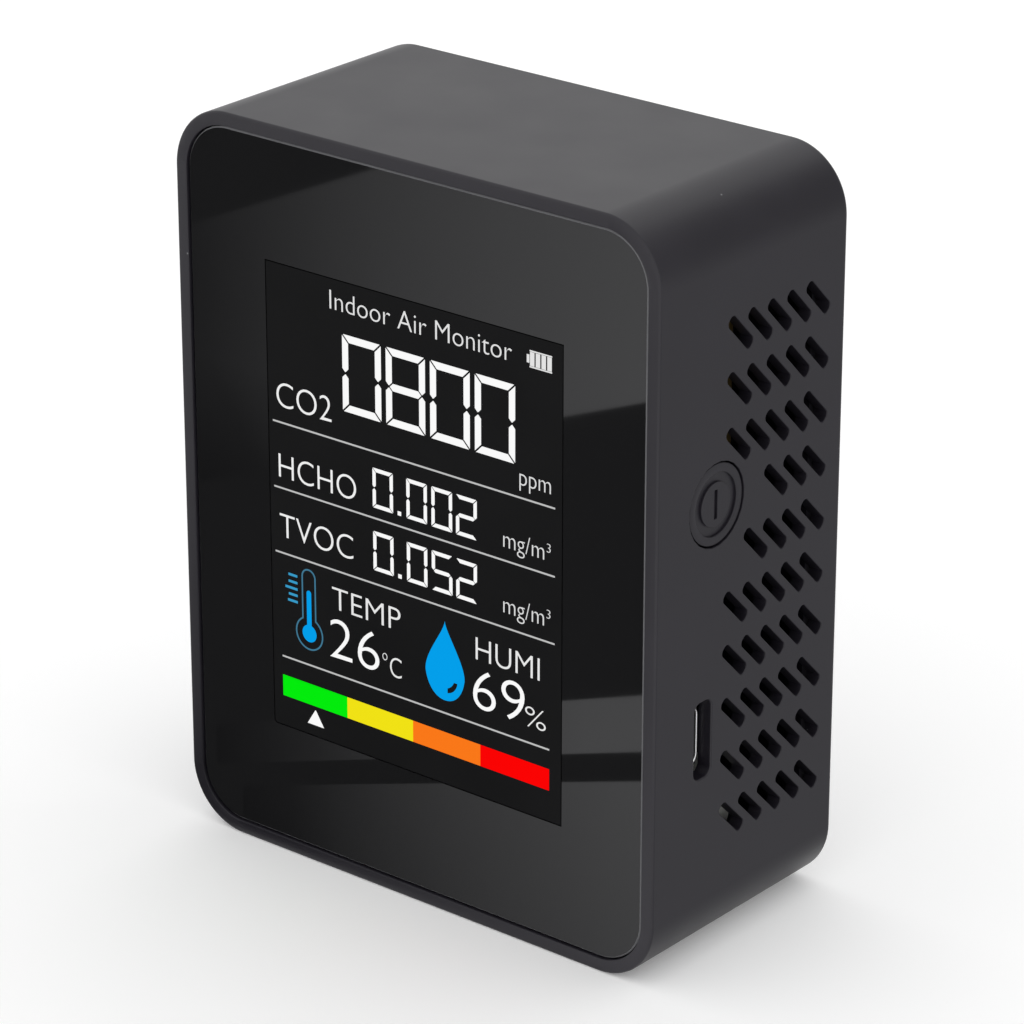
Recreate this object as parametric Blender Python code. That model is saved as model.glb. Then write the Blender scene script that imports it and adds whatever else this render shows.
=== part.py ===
"""Desk-top carbon dioxide monitor: housing, front panel, display, board, sensors, cell and button.

Metres, +Z up. The front panel faces -Y and the button side faces +X. The origin is at the middle
of the underside. Run it with blender --background --python part.py.
"""

import math

import bmesh
import bpy
from mathutils import Vector

MM = 0.001

# Housing
WIDTH = 69.5 * MM
HEIGHT = 90.0 * MM
DEPTH = 34.0 * MM
CORNER_RADIUS = 7.7 * MM
WALL = 1.8 * MM
FRONT_EDGE = 0.3 * MM
REAR_EDGE = 0.85 * MM
GAP = 0.3 * MM  # clearance between neighbouring pieces

# Front panel, set into the rim and stuck to the ledge
RIM_WIDTH = 1.65 * MM
PANEL_RECESS = 0.4 * MM
PANEL_THICKNESS = 1.2 * MM
ADHESIVE_THICKNESS = 0.3 * MM
ADHESIVE_WIDTH = 5.0 * MM
LEDGE_THICKNESS = 1.6 * MM

# Display
LCD_SIDE_MARGIN = 9.75 * MM
LCD_END_MARGIN = 10.4 * MM
LCD_THICKNESS = 1.2 * MM
GUIDE_THICKNESS = 0.8 * MM
TRAY_WALL = 0.6 * MM
HOLDER_WIDTH = 36.0 * MM
HOLDER_WALL = 2.0 * MM
HOLDER_BELOW = 9.0 * MM
HOLDER_ABOVE = 3.0 * MM
FLEX_WIDTH = 18.0 * MM
FLEX_THICKNESS = 0.3 * MM
FLEX_BEND = 1.2 * MM
FLEX_DROP = 2.3 * MM
CONNECTOR_THICKNESS = 1.2 * MM
CONNECTOR_HEIGHT = 4.0 * MM

# Main board
BOARD_SETBACK = 10.25 * MM
BOARD_THICKNESS = 1.6 * MM
BOARD_MARGIN = 2.0 * MM

# Screws and the bosses that take them
SCREW_SHANK = 0.8 * MM
SCREW_HEAD = 1.9 * MM
SCREW_HEAD_HEIGHT = 1.3 * MM
BOARD_SCREW_LENGTH = 4.5 * MM
COVER_SCREW_LENGTH = 7.0 * MM
BOSS_RADIUS = 2.3 * MM
BOSS_STEP = 1.1 * MM
BOSS_INSET = 1.8 * MM
BOSS_WEB = 1.6 * MM

# Rear cover
COVER_RECESS = 0.4 * MM
COVER_THICKNESS = 2.0 * MM
COVER_PAD = 1.4 * MM
COVER_LIP = 1.2 * MM
PAD_WALL = 0.7 * MM

# Air vents
VENT_WIDTH = 1.5 * MM
VENT_LENGTH = 5.6 * MM
VENT_TILT = math.radians(45.0)
VENT_COLUMNS = 5
VENT_PITCH_Y = 3.54 * MM
VENT_PITCH_Z = 6.45 * MM
VENT_FROM_REAR = 5.5 * MM
VENT_FROM_ENDS = 14.0 * MM
VENT_MARGIN = 0.65 * MM

# Power button and its switch
BUTTON_RADIUS = 4.65 * MM
BUTTON_SETBACK = 10.56 * MM
BUTTON_HEIGHT = 55.4 * MM
BUTTON_SUNK = 0.15 * MM
BUTTON_FLANGE = 0.8 * MM
BUTTON_NUB = 0.55 * MM
SYMBOL_OUTER = 3.7 * MM
SYMBOL_INNER = 2.6 * MM
SYMBOL_DEPTH = 0.3 * MM
BAR_LENGTH = 3.4 * MM
BAR_WIDTH = 0.6 * MM
BUTTON_TRAVEL = 0.5 * MM
SWITCH_DEPTH = 3.6 * MM
SWITCH_HEIGHT = 6.4 * MM
SWITCH_THICKNESS = 3.2 * MM
PLUNGER_HEIGHT = 2.6 * MM
PLUNGER_THICKNESS = 1.2 * MM
PLUNGER_LENGTH = 2.4 * MM
PLUNGER_OUT = 0.8 * MM

# Charging socket
SOCKET_HEIGHT = 27.8 * MM
SOCKET_LENGTH = 5.6 * MM
SOCKET_WIDE = 7.7 * MM
SOCKET_NARROW = 5.8 * MM
SOCKET_THICKNESS = 2.45 * MM
SOCKET_RECESS = 1.6 * MM
SOCKET_SHELL = 0.3 * MM
TONGUE_BASE = 1.6 * MM
TONGUE_THICKNESS = 0.6 * MM
TONGUE_WIDTH = 4.4 * MM
PORT_WIDTH = 9.36 * MM
PORT_THICKNESS = 3.07 * MM
PORT_CORNER = 1.0 * MM

# Sensors, chips and the cell
CO2_BOARD = (20.5 * MM, 33.5 * MM, 1.0 * MM)
CO2_CHAMBER = (18.5 * MM, 26.0 * MM, 8.0 * MM)
CO2_FILTER = (9.0 * MM, 14.0 * MM, 0.4 * MM)
CO2_STANDOFF = 2.0 * MM
CO2_FROM_TOP = 9.5 * MM
CO2_FROM_SIDE = 4.4 * MM
HCHO_RADIUS = 6.0 * MM
HCHO_FROM_SIDE = 7.5 * MM
HCHO_HEIGHT = 7.0 * MM
HCHO_Z = 14.5 * MM
CHARGER_SHARE = 0.58  # of the way from the formaldehyde sensor up to the carbon dioxide board
INDUCTOR_SHARE = 0.65
TVOC_RADIUS = 4.0 * MM
TVOC_HEIGHT = 4.5 * MM
CELL_WIDTH = 34.0 * MM
CELL_HEIGHT = 50.0 * MM
CELL_THICKNESS = 6.5 * MM
CELL_FROM_SIDE = 2.6 * MM
CELL_TAPE = 0.8 * MM
PLUG_WIDTH = 6.6 * MM
PLUG_THICKNESS = 3.6 * MM
PLUG_LENGTH = 6.2 * MM
PLUG_SOCKET_WALL = 0.6 * MM
PLUG_SOCKET_DEPTH = 4.6 * MM
PLUG_ABOVE_CELL = 9.5 * MM
PLUG_ASIDE = 8.5 * MM
LEAD_RADIUS = 0.6 * MM
LEAD_SPACING = 3.0 * MM

# Places that follow from the sizes above
FRONT = -DEPTH / 2
BACK = DEPTH / 2
SIDE = WIDTH / 2
INNER_SIDE = SIDE - WALL
MIDDLE = HEIGHT / 2
LCD_WIDTH = WIDTH - 2 * LCD_SIDE_MARGIN
LCD_HEIGHT = HEIGHT - 2 * LCD_END_MARGIN
PANEL_FRONT = FRONT + PANEL_RECESS
PANEL_BACK = PANEL_FRONT + PANEL_THICKNESS
LEDGE_FRONT = PANEL_BACK + ADHESIVE_THICKNESS + 2 * GAP
LEDGE_BACK = LEDGE_FRONT + LEDGE_THICKNESS
LCD_BACK = PANEL_BACK + GAP + LCD_THICKNESS
GUIDE_BACK = LCD_BACK + GAP + GUIDE_THICKNESS
TRAY_BACK = GUIDE_BACK + GAP + TRAY_WALL
BOARD_FRONT = FRONT + BOARD_SETBACK
BOARD_BACK = BOARD_FRONT + BOARD_THICKNESS
PARTS_BACK = BOARD_BACK + GAP  # where a piece on the back of the board starts
COVER_BACK = BACK - COVER_RECESS
COVER_FRONT = COVER_BACK - COVER_THICKNESS
PAD_FRONT = COVER_FRONT - COVER_PAD
BOSS_X = SIDE - CORNER_RADIUS + BOSS_INSET
BOSS_Z = CORNER_RADIUS - BOSS_INSET
BUTTON_Y = FRONT + BUTTON_SETBACK
SOCKET_Y = BOARD_FRONT - GAP - SOCKET_THICKNESS / 2
HOLDER_BOTTOM = MIDDLE - LCD_HEIGHT / 2 + HOLDER_BELOW
HOLDER_TOP = MIDDLE + LCD_HEIGHT / 2 - HOLDER_ABOVE
CO2_X = INNER_SIDE - CO2_FROM_SIDE - CO2_BOARD[0] / 2
CO2_Z = HEIGHT - CO2_FROM_TOP - CO2_BOARD[1] / 2
HCHO_X = INNER_SIDE - HCHO_FROM_SIDE
HCHO_TOP = HCHO_Z + HCHO_RADIUS
CHIP_ROOM = CO2_Z - CO2_BOARD[1] / 2 - HCHO_TOP
CELL_X = -INNER_SIDE + CELL_FROM_SIDE + CELL_WIDTH / 2
CELL_BACK = COVER_FRONT - 2 * GAP - CELL_TAPE
PLUG_ROOM = PLUG_ABOVE_CELL + PLUG_THICKNESS / 2 + PLUG_SOCKET_WALL + 2 * GAP
CELL_TOP = min(MIDDLE + CELL_HEIGHT / 2, HEIGHT - WALL - PLUG_ROOM)
CELL_MIDDLE = CELL_TOP - CELL_HEIGHT / 2

ALONG_X = (0.0, math.pi / 2, 0.0)  # turns a piece made along +Z to point along +X
ALONG_Y = (-math.pi / 2, 0.0, 0.0)  # turns a piece made along +Z to point along +Y
CORNERS = [(x, z) for x in (-1, 1) for z in (-1, 1)]  # the four corners, as signs


# ---------------------------------------------------------------- tools


def clear_scene():
    for obj in list(bpy.data.objects):
        bpy.data.objects.remove(obj, do_unlink=True)


def finish(color, roughness, metallic=0.0):
    """A Principled material of one plain finish."""
    material = bpy.data.materials.new("finish")
    material.use_nodes = True
    shader = material.node_tree.nodes["Principled BSDF"]
    shader.inputs["Base Color"].default_value = (*color, 1.0)
    shader.inputs["Roughness"].default_value = roughness
    shader.inputs["Metallic"].default_value = metallic
    material.diffuse_color = (*color, 1.0)
    return material


def put(name, mesh_data, place=(0, 0, 0), turn=(0, 0, 0), material=None):
    """Make the object of a bmesh, parent it to the monitor's empty and set it in its place."""
    bmesh.ops.remove_doubles(mesh_data, verts=mesh_data.verts, dist=1e-7)
    bmesh.ops.recalc_face_normals(mesh_data, faces=mesh_data.faces)
    mesh = bpy.data.meshes.new(name)
    mesh_data.to_mesh(mesh)
    mesh_data.free()
    mesh.shade_smooth()
    mesh.set_sharp_from_angle(angle=math.radians(30))
    obj = bpy.data.objects.new(name, mesh)
    bpy.context.scene.collection.objects.link(obj)
    obj.location = place
    obj.rotation_euler = turn
    obj.parent = bpy.data.objects["monitor"]
    if material:
        material.name = name
        mesh.materials.append(material)
    return obj


def change(obj, operation, name, mesh_data, place=(0, 0, 0), turn=(0, 0, 0)):
    """Cut a hidden helper shape from the object, or add it on."""
    helper = put(f"{obj.name}_{name}", mesh_data, place, turn)
    helper.hide_render = True
    helper.display_type = "WIRE"
    boolean = obj.modifiers.new(name, "BOOLEAN")
    boolean.operation = operation
    boolean.solver = "EXACT"
    boolean.object = helper


def cut(obj, name, mesh_data, place=(0, 0, 0), turn=(0, 0, 0)):
    change(obj, "DIFFERENCE", name, mesh_data, place, turn)


def add(obj, name, mesh_data, place=(0, 0, 0), turn=(0, 0, 0)):
    change(obj, "UNION", name, mesh_data, place, turn)


def join(*parts):
    """One bmesh that holds several shapes which don't touch."""
    whole = bmesh.new()
    for part in parts:
        mesh = bpy.data.meshes.new("part")
        part.to_mesh(mesh)
        part.free()
        whole.from_mesh(mesh)
        bpy.data.meshes.remove(mesh)
    return whole


def block(x, y, z):
    """A box given by its (lowest, highest) along each axis."""
    shape = bmesh.new()
    bmesh.ops.create_cube(shape, size=1.0)
    for vert in shape.verts:
        vert.co = [low + (high - low) * (c + 0.5) for c, (low, high) in zip(vert.co, (x, y, z))]
    return shape


def drum(radius, low, high, segments=16):
    """A cylinder along Z."""
    shape = bmesh.new()
    bmesh.ops.create_cone(
        shape,
        cap_ends=True,
        segments=segments,
        radius1=radius,
        radius2=radius,
        depth=high - low,
    )
    bmesh.ops.translate(shape, verts=shape.verts, vec=(0, 0, (low + high) / 2))
    return shape


def turned(profile, segments=20):
    """A solid turned about Z from (radius, height) pairs, whose first and last lie on the axis."""
    shape = bmesh.new()
    verts = [shape.verts.new((radius, 0, height)) for radius, height in profile]
    edges = [shape.edges.new(pair) for pair in zip(verts, verts[1:])]
    bmesh.ops.spin(
        shape,
        geom=verts + edges,
        axis=(0, 0, 1),
        cent=(0, 0, 0),
        angle=2 * math.pi,
        steps=segments,
        use_merge=True,
    )
    bmesh.ops.remove_doubles(shape, verts=shape.verts, dist=1e-7)
    return shape


def rounded(width, height, radius, segments=5):
    """The outline of a round-cornered rectangle about (0, 0), anticlockwise, as (u, v) pairs."""
    points = []
    quarters = ((1, 1, 0), (-1, 1, 1), (-1, -1, 2), (1, -1, 3))
    for side_u, side_v, quarter in quarters:
        middle_u = side_u * (width / 2 - radius)
        middle_v = side_v * (height / 2 - radius)
        for step in range(segments + 1):
            angle = math.pi / 2 * (quarter + step / segments)
            u = middle_u + radius * math.cos(angle)
            v = middle_v + radius * math.sin(angle)
            points.append((u, v))
    return points


def slab(outline, low, high, plane="XZ"):
    """An outline pushed from low to high along the axis square to its plane, XZ or YZ."""
    shape = bmesh.new()
    if plane == "XZ":
        corners = [Vector((u, low, v)) for u, v in outline]
        push = Vector((0, high - low, 0))
    else:
        corners = [Vector((low, u, v)) for u, v in outline]
        push = Vector((high - low, 0, 0))
    face = shape.faces.new([shape.verts.new(corner) for corner in corners])
    pushed = bmesh.ops.extrude_face_region(shape, geom=[face], use_keep_orig=True)
    moved = [part for part in pushed["geom"] if isinstance(part, bmesh.types.BMVert)]
    bmesh.ops.translate(shape, verts=moved, vec=push)
    bmesh.ops.recalc_face_normals(shape, faces=shape.faces)
    return shape


def soften(shape, axis, place, width, segments):
    """Bevel the edges that lie in the plane where the axis has this place."""
    edges = [
        edge
        for edge in shape.edges
        if all(abs(vert.co[axis] - place) < 1e-6 for vert in edge.verts)
    ]
    bmesh.ops.bevel(
        shape,
        geom=edges,
        offset=width,
        segments=segments,
        profile=0.5,
        affect="EDGES",
    )
    return shape


def soft_block(x, y, z, width, segments=2):
    """A box with every edge rounded."""
    shape = block(x, y, z)
    bmesh.ops.bevel(
        shape,
        geom=shape.edges[:],
        offset=width,
        segments=segments,
        profile=0.5,
        affect="EDGES",
    )
    return shape


def centred(size):
    return (-size / 2, size / 2)


# ---------------------------------------------------------------- housing


def vent_is_clear(y, z):
    """Whether a vent on the button side stays clear of the button and of the charging slot."""
    half = (VENT_LENGTH - VENT_WIDTH) / 2
    for step in range(-4, 5):
        along = half * step / 4
        at_y = y + along * math.cos(VENT_TILT)
        at_z = z - along * math.sin(VENT_TILT)
        to_button = math.hypot(at_y - BUTTON_Y, at_z - BUTTON_HEIGHT) - BUTTON_RADIUS - GAP
        past_y = abs(at_y - SOCKET_Y) - PORT_THICKNESS / 2
        past_z = abs(at_z - SOCKET_HEIGHT) - PORT_WIDTH / 2
        if min(to_button, max(past_y, past_z)) < VENT_WIDTH / 2 + VENT_MARGIN:
            return False
    return True


def vent_places(side):
    """The middle of each vent in one side wall, as (y, z)."""
    rows = math.floor((HEIGHT - 2 * VENT_FROM_ENDS) / VENT_PITCH_Z) + 1
    places = []
    for row in range(rows):
        z = MIDDLE + (row - (rows - 1) / 2) * VENT_PITCH_Z
        for column in range(VENT_COLUMNS):
            y = BACK - VENT_FROM_REAR - column * VENT_PITCH_Y
            if side < 0 or vent_is_clear(y, z):
                places.append((y, z))
    return places


def vent_cutter(side):
    """Every slanted slot of one side wall, each a stadium that passes through the wall."""
    slots = []
    outline = rounded(VENT_LENGTH, VENT_WIDTH, VENT_WIDTH / 2, segments=2)
    outline = [point for index, point in enumerate(outline) if index not in (3, 9)]
    cos, sin = math.cos(VENT_TILT), math.sin(VENT_TILT)
    reach = sorted((side * (INNER_SIDE - GAP), side * (SIDE + GAP)))
    for y, z in vent_places(side):
        leaning = [(y + u * cos + v * sin, z - u * sin + v * cos) for u, v in outline]
        slots.append(slab(leaning, *reach, plane="YZ"))
    return join(*slots)


def boss_places():
    return [(x * BOSS_X, MIDDLE + z * (MIDDLE - BOSS_Z), x, z) for x, z in CORNERS]


def make_housing():
    shell = slab(rounded(WIDTH, HEIGHT, CORNER_RADIUS), FRONT, BACK)
    soften(shell, 1, FRONT, FRONT_EDGE, 1)
    soften(shell, 1, BACK, REAR_EDGE, 2)
    housing = put("main_housing", shell, (0, 0, MIDDLE), material=finish((0.018, 0.018, 0.02), 0.45))

    inside = rounded(WIDTH - 2 * WALL, HEIGHT - 2 * WALL, CORNER_RADIUS - WALL)
    cut(housing, "hollow", slab(inside, LEDGE_BACK, BACK + WALL), (0, 0, MIDDLE))
    recess = rounded(WIDTH - 2 * RIM_WIDTH, HEIGHT - 2 * RIM_WIDTH, CORNER_RADIUS - RIM_WIDTH)
    cut(housing, "panel_recess", slab(recess, FRONT - WALL, LEDGE_FRONT), (0, 0, MIDDLE))
    window = block(
        centred(LCD_WIDTH + 2 * GAP),
        (LEDGE_FRONT - GAP, LEDGE_BACK + GAP),
        centred(LCD_HEIGHT + 2 * GAP),
    )
    cut(housing, "window", window, (0, 0, MIDDLE))
    notch_depth = LCD_HEIGHT / 2 + FLEX_DROP + FLEX_THICKNESS + GAP
    notch = block(
        centred(FLEX_WIDTH + 2 * GAP),
        (LEDGE_FRONT - GAP, LEDGE_BACK + GAP),
        (-notch_depth, -LCD_HEIGHT / 4),
    )
    cut(housing, "flex_notch", notch, (0, 0, MIDDLE))

    root = LEDGE_BACK - LEDGE_THICKNESS / 2
    for number, (x, z, side_x, side_z) in enumerate(boss_places(), 1):
        boss = turned(
            [
                (0, root),
                (BOSS_RADIUS + BOSS_STEP, root),
                (BOSS_RADIUS + BOSS_STEP, BOARD_FRONT - GAP),
                (BOSS_RADIUS, BOARD_FRONT - GAP),
                (BOSS_RADIUS, PAD_FRONT - GAP),
                (0, PAD_FRONT - GAP),
            ],
            segments=14,
        )
        add(housing, f"boss_{number}", boss, (x, 0, z), ALONG_Y)
        reach = CORNER_RADIUS - WALL / 2 - BOSS_INSET * math.sqrt(2)
        web = block((0, reach), (root, PAD_FRONT - GAP), centred(BOSS_WEB))
        lean = math.atan2(-side_z, side_x)
        add(housing, f"web_{number}", web, (x, 0, z), (0, lean, 0))
        pilot = drum(SCREW_SHANK + GAP, cover_screw_tip() - GAP, PAD_FRONT, segments=10)
        cut(housing, f"pilot_{number}", pilot, (x, 0, z), ALONG_Y)

    hole = drum(BUTTON_RADIUS + GAP, INNER_SIDE - WALL, SIDE + WALL, segments=28)
    cut(housing, "button_hole", hole, (0, BUTTON_Y, BUTTON_HEIGHT), ALONG_X)
    port = rounded(PORT_THICKNESS, PORT_WIDTH, PORT_CORNER, segments=3)
    port = slab(port, INNER_SIDE - WALL, SIDE + WALL, plane="YZ")
    cut(housing, "port", port, (0, SOCKET_Y, SOCKET_HEIGHT))
    cut(housing, "vents_right", vent_cutter(1))
    cut(housing, "vents_left", vent_cutter(-1))


def make_front_panel():
    trim = RIM_WIDTH + GAP
    outline = rounded(WIDTH - 2 * trim, HEIGHT - 2 * trim, CORNER_RADIUS - trim)
    panel = soften(slab(outline, PANEL_FRONT, PANEL_BACK), 1, PANEL_FRONT, 0.15 * MM, 1)
    put("front_panel", panel, (0, 0, MIDDLE), material=finish((0.006, 0.006, 0.006), 0.06))

    trim += GAP
    front = PANEL_BACK + GAP
    outline = rounded(WIDTH - 2 * trim, HEIGHT - 2 * trim, CORNER_RADIUS - trim)
    tape = slab(outline, front, front + ADHESIVE_THICKNESS)
    tape = put("panel_adhesive", tape, (0, 0, MIDDLE), material=finish((0.03, 0.03, 0.03), 0.9))
    opening = block(
        centred(WIDTH - 2 * trim - 2 * ADHESIVE_WIDTH),
        (PANEL_BACK, LEDGE_FRONT),
        centred(HEIGHT - 2 * trim - 2 * ADHESIVE_WIDTH),
    )
    cut(tape, "opening", opening, (0, 0, MIDDLE))


# ---------------------------------------------------------------- display


def make_display():
    glass = block(centred(LCD_WIDTH), (PANEL_BACK + GAP, LCD_BACK), centred(LCD_HEIGHT))
    put("display_glass", glass, (0, 0, MIDDLE), material=finish((0.01, 0.01, 0.012), 0.08))

    rim = TRAY_WALL + GAP
    guide = block(
        centred(LCD_WIDTH - 2 * rim),
        (LCD_BACK + GAP, GUIDE_BACK),
        centred(LCD_HEIGHT - 2 * rim),
    )
    put("light_guide", guide, (0, 0, MIDDLE), material=finish((0.8, 0.82, 0.85), 0.25))

    tray = block(centred(LCD_WIDTH), (LCD_BACK + GAP, TRAY_BACK), centred(LCD_HEIGHT))
    tray = put("display_tray", tray, (0, 0, MIDDLE), material=finish((0.6, 0.6, 0.61), 0.35, 1.0))
    pocket = block(
        centred(LCD_WIDTH - 2 * TRAY_WALL),
        (LCD_BACK, GUIDE_BACK + GAP),
        centred(LCD_HEIGHT - 2 * TRAY_WALL),
    )
    cut(tray, "pocket", pocket, (0, 0, MIDDLE))


def holder_post_places():
    inset = HOLDER_WALL + SCREW_HEAD / 2
    x = HOLDER_WIDTH / 2 - inset
    return [(side * x, z) for side in (-1, 1) for z in (HOLDER_BOTTOM + inset, HOLDER_TOP - inset)]


def make_display_holder():
    front = TRAY_BACK + GAP
    back = BOARD_FRONT - GAP
    height = HOLDER_TOP - HOLDER_BOTTOM
    middle = (HOLDER_TOP + HOLDER_BOTTOM) / 2
    frame = block(centred(HOLDER_WIDTH), (front, back), centred(height))
    holder = put("display_holder", frame, (0, 0, middle), material=finish((0.7, 0.7, 0.68), 0.5))
    opening = block(
        centred(HOLDER_WIDTH - 2 * HOLDER_WALL),
        (front - GAP, back + GAP),
        centred(height - 2 * HOLDER_WALL),
    )
    cut(holder, "opening", opening, (0, 0, middle))
    for number, (x, z) in enumerate(holder_post_places(), 1):
        add(holder, f"post_{number}", drum(BOSS_RADIUS, front, back, 12), (x, 0, z), ALONG_Y)
        pilot = drum(SCREW_SHANK + GAP, front + HOLDER_WALL / 2, back + GAP, 10)
        cut(holder, f"pilot_{number}", pilot, (x, 0, z), ALONG_Y)


def flex_line():
    """The middle line of the flex, as (y, z): down from the display, back, and up to its connector."""
    start_z = MIDDLE - LCD_HEIGHT / 2 - GAP
    low = start_z - FLEX_DROP + GAP
    y_front = LCD_BACK - LCD_THICKNESS / 2
    y_back = BOARD_FRONT - GAP - CONNECTOR_THICKNESS / 2
    line = [(y_front, start_z)]
    for middle_y, first in ((y_front + FLEX_BEND, 180), (y_back - FLEX_BEND, 270)):
        for step in range(5):
            angle = math.radians(first + 90 * step / 4)
            y = middle_y + FLEX_BEND * math.cos(angle)
            z = low + FLEX_BEND + FLEX_BEND * math.sin(angle)
            line.append((y, z))
    line.append((y_back, start_z))
    return line


def make_flex():
    line = flex_line()
    left = []
    right = []
    for index, (y, z) in enumerate(line):
        before = Vector(line[max(index - 1, 0)])
        after = Vector(line[min(index + 1, len(line) - 1)])
        along = (after - before).normalized()
        across = Vector((-along.y, along.x)) * FLEX_THICKNESS / 2
        left.append((y + across.x, z + across.y))
        right.append((y - across.x, z - across.y))
    outline = left + right[::-1]
    strip = slab(outline, *centred(FLEX_WIDTH), plane="YZ")
    put("display_flex", strip, material=finish((0.55, 0.28, 0.05), 0.4))

    y_back = BOARD_FRONT - GAP
    start_z = line[-1][1] + GAP
    body = block(
        centred(FLEX_WIDTH + 2 * GAP),
        (y_back - CONNECTOR_THICKNESS, y_back),
        (start_z, start_z + CONNECTOR_HEIGHT),
    )
    put("flex_connector", body, material=finish((0.75, 0.72, 0.62), 0.5))


# ---------------------------------------------------------------- board and what it carries


def make_board():
    width = WIDTH - 2 * WALL - 2 * BOARD_MARGIN
    height = HEIGHT - 2 * WALL - 2 * BOARD_MARGIN
    plate = block(centred(width), (BOARD_FRONT, BOARD_BACK), centred(height))
    board = put("main_board", plate, (0, 0, MIDDLE), material=finish((0.01, 0.12, 0.05), 0.4))
    notches = []
    for x, z, side_x, side_z in boss_places():
        edge_x = x - side_x * (BOSS_RADIUS + GAP)
        edge_z = z - side_z * (BOSS_RADIUS + GAP)
        notches.append(
            block(
                sorted((edge_x, side_x * SIDE)),
                (BOARD_FRONT - GAP, BOARD_BACK + GAP),
                sorted((edge_z, MIDDLE + side_z * MIDDLE)),
            )
        )
    cut(board, "corner_notches", join(*notches))
    holes = [drum(SCREW_SHANK + GAP, -BOARD_THICKNESS, BOARD_THICKNESS, 10) for _ in range(4)]
    for hole, (x, z) in zip(holes, holder_post_places()):
        bmesh.ops.translate(hole, verts=hole.verts, vec=(x, -z, 0))
    middle = (BOARD_FRONT + BOARD_BACK) / 2
    cut(board, "screw_holes", join(*holes), (0, middle, 0), ALONG_Y)

    for number, (x, z) in enumerate(holder_post_places(), 1):
        place = (x, PARTS_BACK, z)
        put_screw(f"board_screw_{number}", place, BOARD_SCREW_LENGTH)


def put_screw(name, place, length):
    """A pan-head screw whose head sits at its place and whose shank points to the front."""
    screw = turned(
        [
            (0, -length),
            (SCREW_SHANK * 0.5, -length),
            (SCREW_SHANK, -length + SCREW_SHANK),
            (SCREW_SHANK, 0),
            (SCREW_HEAD, 0),
            (SCREW_HEAD, SCREW_HEAD_HEIGHT * 0.6),
            (SCREW_HEAD * 0.7, SCREW_HEAD_HEIGHT),
            (0, SCREW_HEAD_HEIGHT),
        ],
        segments=12,
    )
    put(name, screw, place, ALONG_Y, finish((0.45, 0.45, 0.46), 0.3, 1.0))


def make_chips():
    """Parts soldered to the back of the board: name, x, z, size across, up and back, colour."""
    right = INNER_SIDE
    charger_z = HCHO_TOP + CHARGER_SHARE * CHIP_ROOM
    inductor_z = HCHO_TOP + INDUCTOR_SHARE * CHIP_ROOM
    chips = (
        ("controller_chip", -3 * MM, 36 * MM, 7 * MM, 7 * MM, 0.9 * MM, (0.02, 0.02, 0.02)),
        ("charger_chip", right - 9 * MM, charger_z, 5 * MM, 4 * MM, 1.5 * MM, (0.02, 0.02, 0.02)),
        ("power_inductor", right - 17 * MM, inductor_z, 5 * MM, 5 * MM, 2.5 * MM, (0.1, 0.1, 0.1)),
        ("crystal", -3 * MM, 27 * MM, 9 * MM, 3.6 * MM, 3.0 * MM, (0.6, 0.6, 0.6)),
        ("humidity_sensor", right - 5 * MM, 44 * MM, 2.5 * MM, 2.5 * MM, 0.9 * MM, (0.03, 0.03, 0.03)),
    )
    for name, x, z, across, up, back, color in chips:
        body = soft_block(centred(across), (0, back), centred(up), 0.2 * MM, 1)
        metallic = 1.0 if name == "crystal" else 0.0
        put(name, body, (x, PARTS_BACK, z), material=finish(color, 0.45, metallic))


def make_socket():
    """The charging socket: a D-shaped metal shell, open at both ends, and its contact tongue."""
    chamfer = (SOCKET_WIDE - SOCKET_NARROW) / 2

    def outline(shrink):
        wide = SOCKET_WIDE / 2 - shrink
        narrow = SOCKET_NARROW / 2 - shrink * 0.6
        half = SOCKET_THICKNESS / 2 - shrink
        lower = [(-half, -wide), (half - chamfer, -wide), (half, -narrow)]
        return lower + [(u, -v) for u, v in reversed(lower)]

    mouth = SIDE - SOCKET_RECESS
    place = (mouth, SOCKET_Y, SOCKET_HEIGHT)
    shell = slab(outline(0), -SOCKET_LENGTH, 0, plane="YZ")
    shell = put("socket_shell", shell, place, material=finish((0.7, 0.7, 0.71), 0.25, 1.0))
    hollow = slab(outline(SOCKET_SHELL), -SOCKET_LENGTH - GAP, GAP, plane="YZ")
    cut(shell, "hollow", hollow, place)

    half = SOCKET_THICKNESS / 2 - SOCKET_SHELL - GAP
    base = block(
        (-SOCKET_LENGTH + GAP, -SOCKET_LENGTH + GAP + TONGUE_BASE),
        (-half, half),
        centred(TONGUE_WIDTH),
    )
    tongue = put("socket_tongue", base, place, material=finish((0.02, 0.02, 0.02), 0.5))
    blade = block(
        (-SOCKET_LENGTH + TONGUE_BASE, -2 * GAP),
        centred(TONGUE_THICKNESS),
        centred(TONGUE_WIDTH - GAP),
    )
    add(tongue, "blade", blade, place)


def button_seat():
    """X of the flange's outer face, which stops against the inside of the wall."""
    return INNER_SIDE - GAP


def switch_y():
    return BOARD_FRONT - GAP - SWITCH_THICKNESS / 2


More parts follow.
